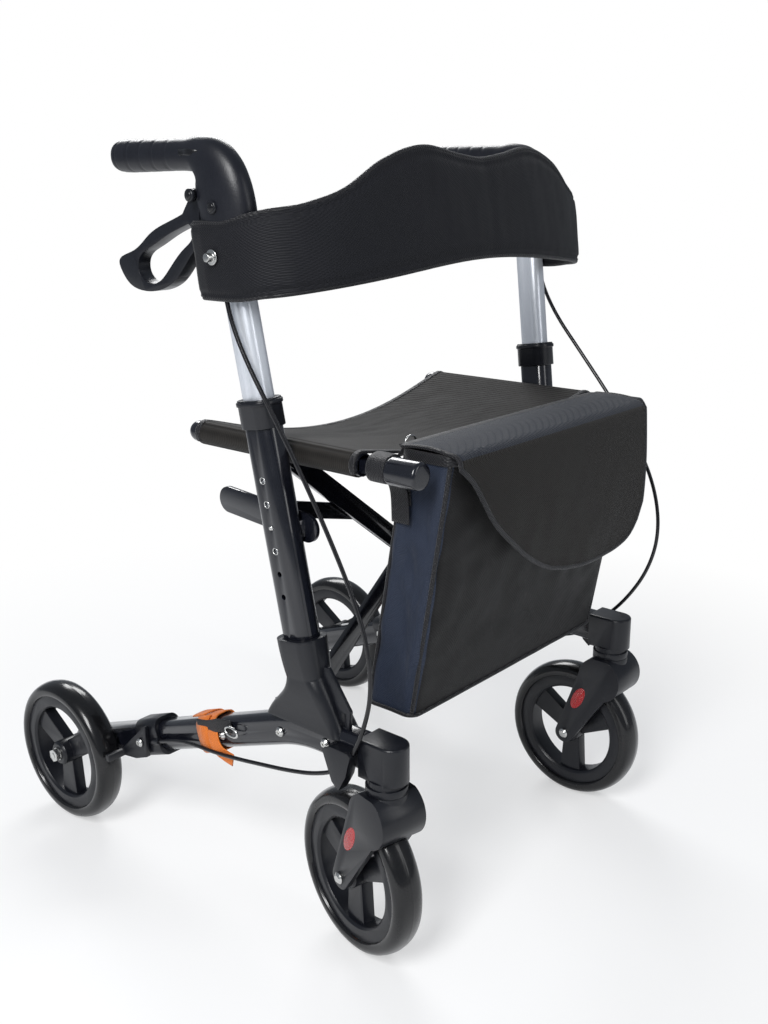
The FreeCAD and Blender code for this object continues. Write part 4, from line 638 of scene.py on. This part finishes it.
ring = sweep("seat_front_ring", ring_line, 0.0013, 0.0013, "bright_steel", up=Vector((0, 1, 0)), count=10)
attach(ring, "right_rail")
print("seat done")


# %% [markdown]
# ## Bag
# Side, front, back and base panels, each bulging between its piped seams.

# %% Bag
HALF, ROUND_CORNER = 190.0, 13.0
Z_TOP, Z_LOW = 600.0, 291.0


def bag_edges(z):
    """Front and back of the bag at a height."""
    t = (z - Z_LOW) / (Z_TOP - Z_LOW)
    return -293 - 54 * t, -223 - 56 * t


def bag_ring(z, inset, count=256):
    """A rounded rectangle of cloth at one height, bulging on each panel."""
    front, back = bag_edges(z)
    cy, half_y = (front + back) / 2, (back - front) / 2 - inset
    half_x = HALF - inset
    rise = (z - Z_LOW) / (Z_TOP - Z_LOW)
    belly = math.sin(math.pi * min(max(rise, 0), 1)) ** 0.7
    ring = []
    corner = ROUND_CORNER - inset * 0.5
    flat_x, flat_y = half_x - corner, half_y - corner
    total = 4 * flat_x + 4 * flat_y + 2 * math.pi * corner
    for i in range(count):
        s = total * i / count
        pieces = ((2 * flat_x, 0), (math.pi * corner / 2, 1), (2 * flat_y, 2), (math.pi * corner / 2, 3),
                  (2 * flat_x, 4), (math.pi * corner / 2, 5), (2 * flat_y, 6), (math.pi * corner / 2, 7))
        for length, part in pieces:
            if s <= length or part == 7:
                break
            s -= length
        if part in (0, 4):
            sign = -1 if part == 0 else 1
            x, y, nx, ny = sign * (s - flat_x) * -1, sign * half_y, 0, sign
            bulge = 5.0 * belly * (1 - (x / flat_x) ** 4) * (0.5 if sign > 0 else 1.0)
        elif part in (2, 6):
            sign = 1 if part == 2 else -1
            x, y, nx, ny = sign * half_x, sign * (s - flat_y), sign, 0
            bulge = -4.0 * belly * (1 - (y / max(flat_y, 1)) ** 2)
        else:
            a = {1: -90, 3: 0, 5: 90, 7: 180}[part] + 90 * s / (math.pi * corner / 2)
            nx, ny = math.cos(math.radians(a)), math.sin(math.radians(a))
            x = math.copysign(flat_x, (1, 1, 1, 1, -1, -1, -1, -1)[part] if part in (1, 3) else -1) + corner * nx
            y = (-flat_y if part in (1, 7) else flat_y) + corner * ny
            bulge = 0.0
        fold = (noise.noise(Vector((x / 70, y / 30, z / 85))) * 4.6 + noise.noise(Vector((x / 34, y / 16, z / 30))) * 3.2) * belly
        if part in (2, 6):
            slant = y / 26 + z / 95
            ridge = abs(noise.noise(Vector((slant, z / 60 - y / 40, 4 + part))))
            fold += (7.0 * ridge - 1.6) * belly * (1 - (y / max(flat_y, 1)) ** 4)
        ring.append(mm(x + nx * (bulge + fold), cy + y + ny * (bulge + fold), z))
    return ring


def bag_rows():
    rows = []
    for k in range(5):
        rows.append(bag_ring(Z_LOW + 0.2 * k, 22 - 5 * k - 1))
    for k in range(41):
        rows.append(bag_ring(Z_LOW + 1 + (Z_TOP - Z_LOW - 1) * k / 40, 0.0))
    rows.append(bag_ring(Z_TOP + 0.8, 1.2))
    for k in range(24):
        rows.append(bag_ring(Z_TOP - (Z_TOP - Z_LOW - 3) * k / 23, 2.6))
    return rows


bag = skin("bag_skin", bag_rows(), "bag_fabric")
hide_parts("bag")
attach(bag, "right_rail")
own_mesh(bag)


def trim(name, line, width, depth, mat="webbing", body="right_rail", up=Vector((0, 0, 1)), squash=True,
         power=2.0):
    obj = sweep(name, line, width, depth, mat, up=up, count=10, power=power)
    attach(obj, body)
    if squash:
        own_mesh(obj)
    return obj


for s in (-1, 1):
    for which in (0, 1):
        line = []
        for k in range(31):
            z = Z_LOW + 3 + (Z_TOP - Z_LOW - 4) * k / 30
            y = bag_edges(z)[which] + (4 if which == 0 else -4)
            line.append(mm(s * (HALF - 3.2), y, z))
        trim("bag_piping_%d_%d" % (s > 0, which), line, 0.0024, 0.0024, up=Vector((1, 0, 0)))
rim = bag_ring(Z_TOP - 4, -1.0)
trim("bag_rim_binding", rim + [rim[0]], 0.0016, 0.006, up=Vector((0, 0, 1)), power=3)
base = bag_ring(Z_LOW + 3, -0.6)
trim("bag_base_piping", base + [base[0]], 0.0022, 0.0022)
print("bag done")


# %% Hanging loops
for s in (-1, 1):
    x, y = s * 221.6, -280.0
    loop = [mm(s * 190.5, y, 540), mm(s * 193.5, y, 566), mm(s * 205, y, 594), mm(s * 216, y, 600.5),
            mm(s * 230, y, 597), mm(s * 235, y, 585), mm(s * 230, y, 573.5), mm(s * 216, y, 570),
            mm(s * 203, y, 566), mm(s * 195.5, y, 552), mm(s * 193.5, y, 520)]
    body = "left_rail" if s > 0 else "right_rail"
    trim("bag_loop_%d" % (s > 0), smooth_line(loop, 6), 0.0125, 0.0009, body=body, squash=False, power=4)


# %% [markdown]
# ## Flap
# A heavier cloth that folds over the bag's mouth and hangs in a wide D down the front.

# %% Flap
def flap_point(u, v):
    """u -1..1 across, v 0..1 from the hinge to the lowest edge."""
    edge = smooth_table([(-1.0, 0.34), (-0.885, 0.42), (-0.71, 0.61), (-0.5, 0.75), (-0.3, 0.857), (-0.03, 0.952),
                         (0.39, 1.005), (0.72, 1.0), (0.88, 0.965), (0.96, 0.90), (1.0, 0.80)], u)
    down = 252.0 * v * edge if v * edge > 0 else 0.0
    x = 189.5 * u
    over = 66.0
    if down < over:
        y, z = -279.5 - down, 603.4 + 3.0 * math.sin(math.pi * down / over)
    elif down < over + 18:
        a = (down - over) / 18 * math.pi / 2
        y, z = -345.5 - 11.5 * math.sin(a), 603.4 - 11.5 * (1 - math.cos(a))
    else:
        drop = down - over - 18
        y, z = -357.0 - 5.0 * math.sin(min(drop / 168, 1) * math.pi) + 3.0 * drop / 168, 591.9 - drop
    hang = max(0.0, (down - over) / 186)
    y -= hang * (3.0 * noise.noise(Vector((x / 80, down / 90, 9))) + 1.0 * noise.noise(Vector((x / 26, down / 40, 2))))
    return mm(x, y, z)


flap_grid = [[flap_point(-1 + 2 * i / 72, j / 60) for i in range(73)] for j in range(61)]
flap = skin("flap_skin", flap_grid, "flap_fabric", closed=False)
solid = flap.modifiers.new("cloth", "SOLIDIFY")
solid.thickness = 0.0026
solid.offset = 0.0
graph = bpy.context.evaluated_depsgraph_get()
flap.data = bpy.data.meshes.new_from_object(flap.evaluated_get(graph))
flap.modifiers.clear()
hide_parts("bag_flap")
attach(flap, "flap")
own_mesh(flap)
border = [flap_point(-1, j / 30) for j in range(31)] + [flap_point(-1 + 2 * i / 60, 1) for i in range(1, 60)]
border += [flap_point(1, 1 - j / 30) for j in range(31)]
trim("flap_binding", border, 0.0032, 0.0022, body="flap", up=Vector((0, -1, 0.3)))
hinge = [mm(x, -281.0, 604.4) for x in range(-190, 191, 10)]
trim("flap_hinge_band", hinge, 0.0055, 0.0012, mat="webbing", body="flap", power=4)
print("flap done")


# %% [markdown]
# ## Brake cables
# Each cable runs through the same points as its tube in the frame.

# %% Cables
END = (-262.5, 76.45, 182.46)
RIGHT_CABLE = [
    (-288.6, -122, 772), (-288.8, -128, 739), (-287, -150, 692), (-282, -181, 640), (-273, -208, 585),
    (-264, -238, 520), (-257, -266, 455), (-254, -285, 400), (-256, -292, 345), (-262, -284, 300),
    (-264, -267, 264), (-264.5, -249, 243), (-265.5, -212, 226), (-266, -168, 215), (-266, -125, 207),
    (-265, -80, 198), (-264, -35, 191), (-263.5, 5, 188), (-262.5, 42, 180), END]
LEFT_CABLE = [
    (288.6, -122, 772), (289.5, -128, 739), (293, -152, 690), (298, -195, 637), (298, -242, 583),
    (295, -290, 525), (291, -325, 465), (287, -338, 405), (282, -328, 350), (274, -300, 300),
    (264, -267, 264), (264.5, -249, 243), (265.5, -212, 226), (266, -168, 215), (266, -125, 207),
    (265, -80, 198), (264, -35, 191), (263.5, 5, 188), (262.5, 42, 180), END]


def cable(side_name, points):
    s = 1 if side_name == "left" else -1
    points = points[:-1] + [(s * 262.5, CABLE_END_Y, CABLE_END_Z)]
    curve = bpy.data.curves.new(side_name + "_cable", "CURVE")
    curve.dimensions = "3D"
    curve.bevel_depth = 0.0025
    curve.bevel_resolution = 5
    curve.use_fill_caps = True
    curve.resolution_u = 12
    spline = curve.splines.new("NURBS")
    spline.points.add(len(points) - 1)
    for slot_point, p in zip(spline.points, points):
        slot_point.co = (*(c / 1000 for c in p), 1)
    spline.order_u = 3
    spline.use_endpoint_u = True
    obj = bpy.data.objects.new(side_name + "_cable_skin", curve)
    bpy.context.scene.collection.objects.link(obj)
    curve.materials.append(MATS["cable_jacket"])
    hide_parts(side_name + "_brake_cable")
    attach(obj, side_name + "_frame")
    [c / 1000 for c in points[0]]


# The cable ends at the stop on the brake sleeve.
SLOPE = math.radians(20.8)
STOP_Y = 77.0
BEAM_Z = 100 + math.tan(SLOPE) * (260.5 - STOP_Y)
CABLE_END_Y = STOP_Y - 3 * math.sin(SLOPE)
CABLE_END_Z = BEAM_Z - 3 * math.cos(SLOPE)
cable("right", RIGHT_CABLE)
cable("left", LEFT_CABLE)
print("cables done")


# %% [markdown]
# ## Tie strap
# Orange webbing wound round the right beam, with a loose tail and a steel clip.

# %% Tie strap
def beam_mid(y):
    return 100 + math.tan(SLOPE) * (260.5 - y)


def strap_turn(y, skew, rise, phase):
    """One turn of webbing round the beam, in points."""
    line = []
    for i in range(49):
        a = 2 * math.pi * i / 48 + phase
        c, s = math.cos(a), math.sin(a)
        w = 17.6 + rise
        h = 21.6 + rise
        x = w * math.copysign(abs(c) ** 0.55, c)
        across = h * math.copysign(abs(s) ** 0.55, s)
        yy = y + skew * (i / 48 - 0.5) - across * -math.sin(SLOPE)
        line.append(mm(-240 - x, yy, beam_mid(y) + across * math.cos(SLOPE) - skew * (i / 48 - 0.5) * math.tan(SLOPE)))
    return line


def webbing(name, line, up, width=0.0115, mat="orange_webbing", depth=0.0009, body="right_frame"):
    obj = sweep(name, line, width, depth, mat, up=up, count=14, power=4)
    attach(obj, body)
    return obj


def wound(name, y, skew, rise, phase, half=12.0):
    """Webbing turn as two rails joined into a flat band."""
    left = strap_turn(y - half, skew, rise, phase)
    right = strap_turn(y + half, skew, rise, phase)
    left_out = strap_turn(y - half, skew, rise + 1.7, phase)
    right_out = strap_turn(y + half, skew, rise + 1.7, phase)
    rows = []
    for a, b, c, d in zip(left, right, right_out, left_out):
        mid_in, mid_out = (a + b) / 2, (c + d) / 2
        rows.append([a, mid_in, b, c, mid_out, d])
    obj = skin(name, rows, "orange_webbing")
    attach(obj, "right_frame")
    return obj


tie = wound("tie_strap_skin", -22, 10, 0.4, 0.3)
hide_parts("tie_strap")
wound("tie_strap_second", -10, -16, 2.4, 1.2, half=11.0)
tail = [mm(-259.5, -30, beam_mid(-30) + 14), mm(-262, -34, beam_mid(-34) - 2), mm(-262.5, -42, beam_mid(-42) - 18),
        mm(-260, -52, beam_mid(-52) - 28), mm(-258, -64, beam_mid(-64) - 36)]
webbing("tie_strap_tail", smooth_line(tail, 8), Vector((1, 0, 0)), width=0.0095)
dark = [mm(-259.8, -2, beam_mid(-2) + 16), mm(-260.5, -24, beam_mid(-24) + 13), mm(-261.5, -46, beam_mid(-46) + 14),
        mm(-260.0, -66, beam_mid(-66) + 10)]
webbing("tie_dark_strap", smooth_line(dark, 8), Vector((1, 0, 0)), width=0.0085, mat="webbing")
clip = []
for i in range(25):
    a = 2 * math.pi * i / 24
    clip.append(mm(-264.0, -70 + 11 * math.cos(a), beam_mid(-66) + 6 + 6 * math.sin(a)))
clip = sweep("tie_clip", clip, 0.0015, 0.0015, "bright_steel", up=Vector((1, 0, 0)), count=10)
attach(clip, "right_frame")
print("strap done")


# %% [markdown]
# ## Stage, light and camera

# %% Stage
def stage_plane(name, verts, colour):
    mesh = bpy.data.meshes.new(name)
    mesh.from_pydata(verts, [], [(0, 1, 2, 3)])
    obj = bpy.data.objects.new(name, mesh)
    bpy.context.scene.collection.objects.link(obj)
    mat = bpy.data.materials.new(name)
    mat.use_nodes = True
    mat.node_tree.nodes["Principled BSDF"].inputs["Base Color"].default_value = (*colour, 1)
    mat.node_tree.nodes["Principled BSDF"].inputs["Roughness"].default_value = 0.9
    mat.node_tree.nodes["Principled BSDF"].inputs["Specular IOR Level"].default_value = 0.1
    mesh.materials.append(mat)


def whiten_far(name, near, far):
    """Lets a stage material turn plain white for the camera with distance from the object."""
    tree = bpy.data.materials[name].node_tree
    shader = tree.nodes["Principled BSDF"]
    glow = tree.nodes.new("ShaderNodeEmission")
    glow.inputs["Color"].default_value = (1, 1, 1, 1)
    mixer = tree.nodes.new("ShaderNodeMixShader")
    coord = tree.nodes.new("ShaderNodeTexCoord").outputs["Object"]
    length = tree.nodes.new("ShaderNodeVectorMath")
    length.operation = "LENGTH"
    tree.links.new(coord, length.inputs[0])
    span = tree.nodes.new("ShaderNodeMapRange")
    span.inputs["From Min"].default_value = near
    span.inputs["From Max"].default_value = far
    span.inputs["To Min"].default_value = 0.45
    tree.links.new(length.outputs["Value"], span.inputs["Value"])
    seen = Value(tree, tree.nodes.new("ShaderNodeLightPath").outputs["Is Camera Ray"])
    share = seen * Value(tree, span.outputs[0])
    tree.links.new(share.socket, mixer.inputs[0])
    tree.links.new(shader.outputs[0], mixer.inputs[1])
    tree.links.new(glow.outputs[0], mixer.inputs[2])
    tree.links.new(mixer.outputs[0], tree.nodes["Material Output"].inputs["Surface"])


stage_plane("floor", [(-30, -30, 0), (30, -30, 0), (30, 30, 0), (-30, 30, 0)], (0.93, 0.93, 0.93))
whiten_far("floor", 0.5, 1.3)


def area_light(name, at, aim, width, height, power):
    data = bpy.data.lights.new(name, "AREA")
    data.shape = "RECTANGLE"
    data.size, data.size_y = width, height
    data.energy = power
    obj = bpy.data.objects.new(name, data)
    bpy.context.scene.collection.objects.link(obj)
    obj.location = at
    obj.rotation_euler = (Vector(aim) - Vector(at)).to_track_quat("-Z", "Y").to_euler()


area_light("key", (-2.4, -0.9, 2.4), (0, 0, 0.45), 1.0, 1.6, 90)
area_light("fill", (0.6, -3.0, 1.5), (0, 0, 0.4), 0.8, 2.2, 14)
area_light("back", (1.6, 2.2, 2.4), (0, 0, 0.5), 2.0, 1.0, 55)
world = bpy.data.worlds.new("world")
bpy.context.scene.world = world
world.use_nodes = True
tree = world.node_tree
background = tree.nodes["Background"]
background.inputs["Strength"].default_value = 1.0
path = tree.nodes.new("ShaderNodeLightPath")
tree.links.new(mix_colour(tree, Value(tree, path.outputs["Is Camera Ray"]), (0.22, 0.24, 0.27), (1, 1, 1)).socket,
               background.inputs["Color"])

# %% Camera
AZIMUTH, ELEVATION, ROLL = math.radians(-48.891), math.radians(16.541), math.radians(-0.421)
forward = Vector((-math.sin(AZIMUTH) * math.cos(ELEVATION), math.cos(AZIMUTH) * math.cos(ELEVATION), -math.sin(ELEVATION)))
right = forward.cross(Vector((0, 0, 1))).normalized()
upward = right.cross(forward)
across = right * math.cos(ROLL) + upward * math.sin(ROLL)
above = upward * math.cos(ROLL) - right * math.sin(ROLL)
camera_data = bpy.data.cameras.new("camera")
camera_data.lens = 39.89
camera_data.sensor_width = 36.0
camera_data.clip_start = 0.01
camera = bpy.data.objects.new("camera", camera_data)
bpy.context.scene.collection.objects.link(camera)
turn = Matrix((across, above, -forward)).transposed().to_4x4()
camera.matrix_world = Matrix.Translation((-1.0772, -1.0279, 0.8761)) @ turn
bpy.context.scene.camera = camera
bpy.context.scene.view_settings.view_transform = "Standard"
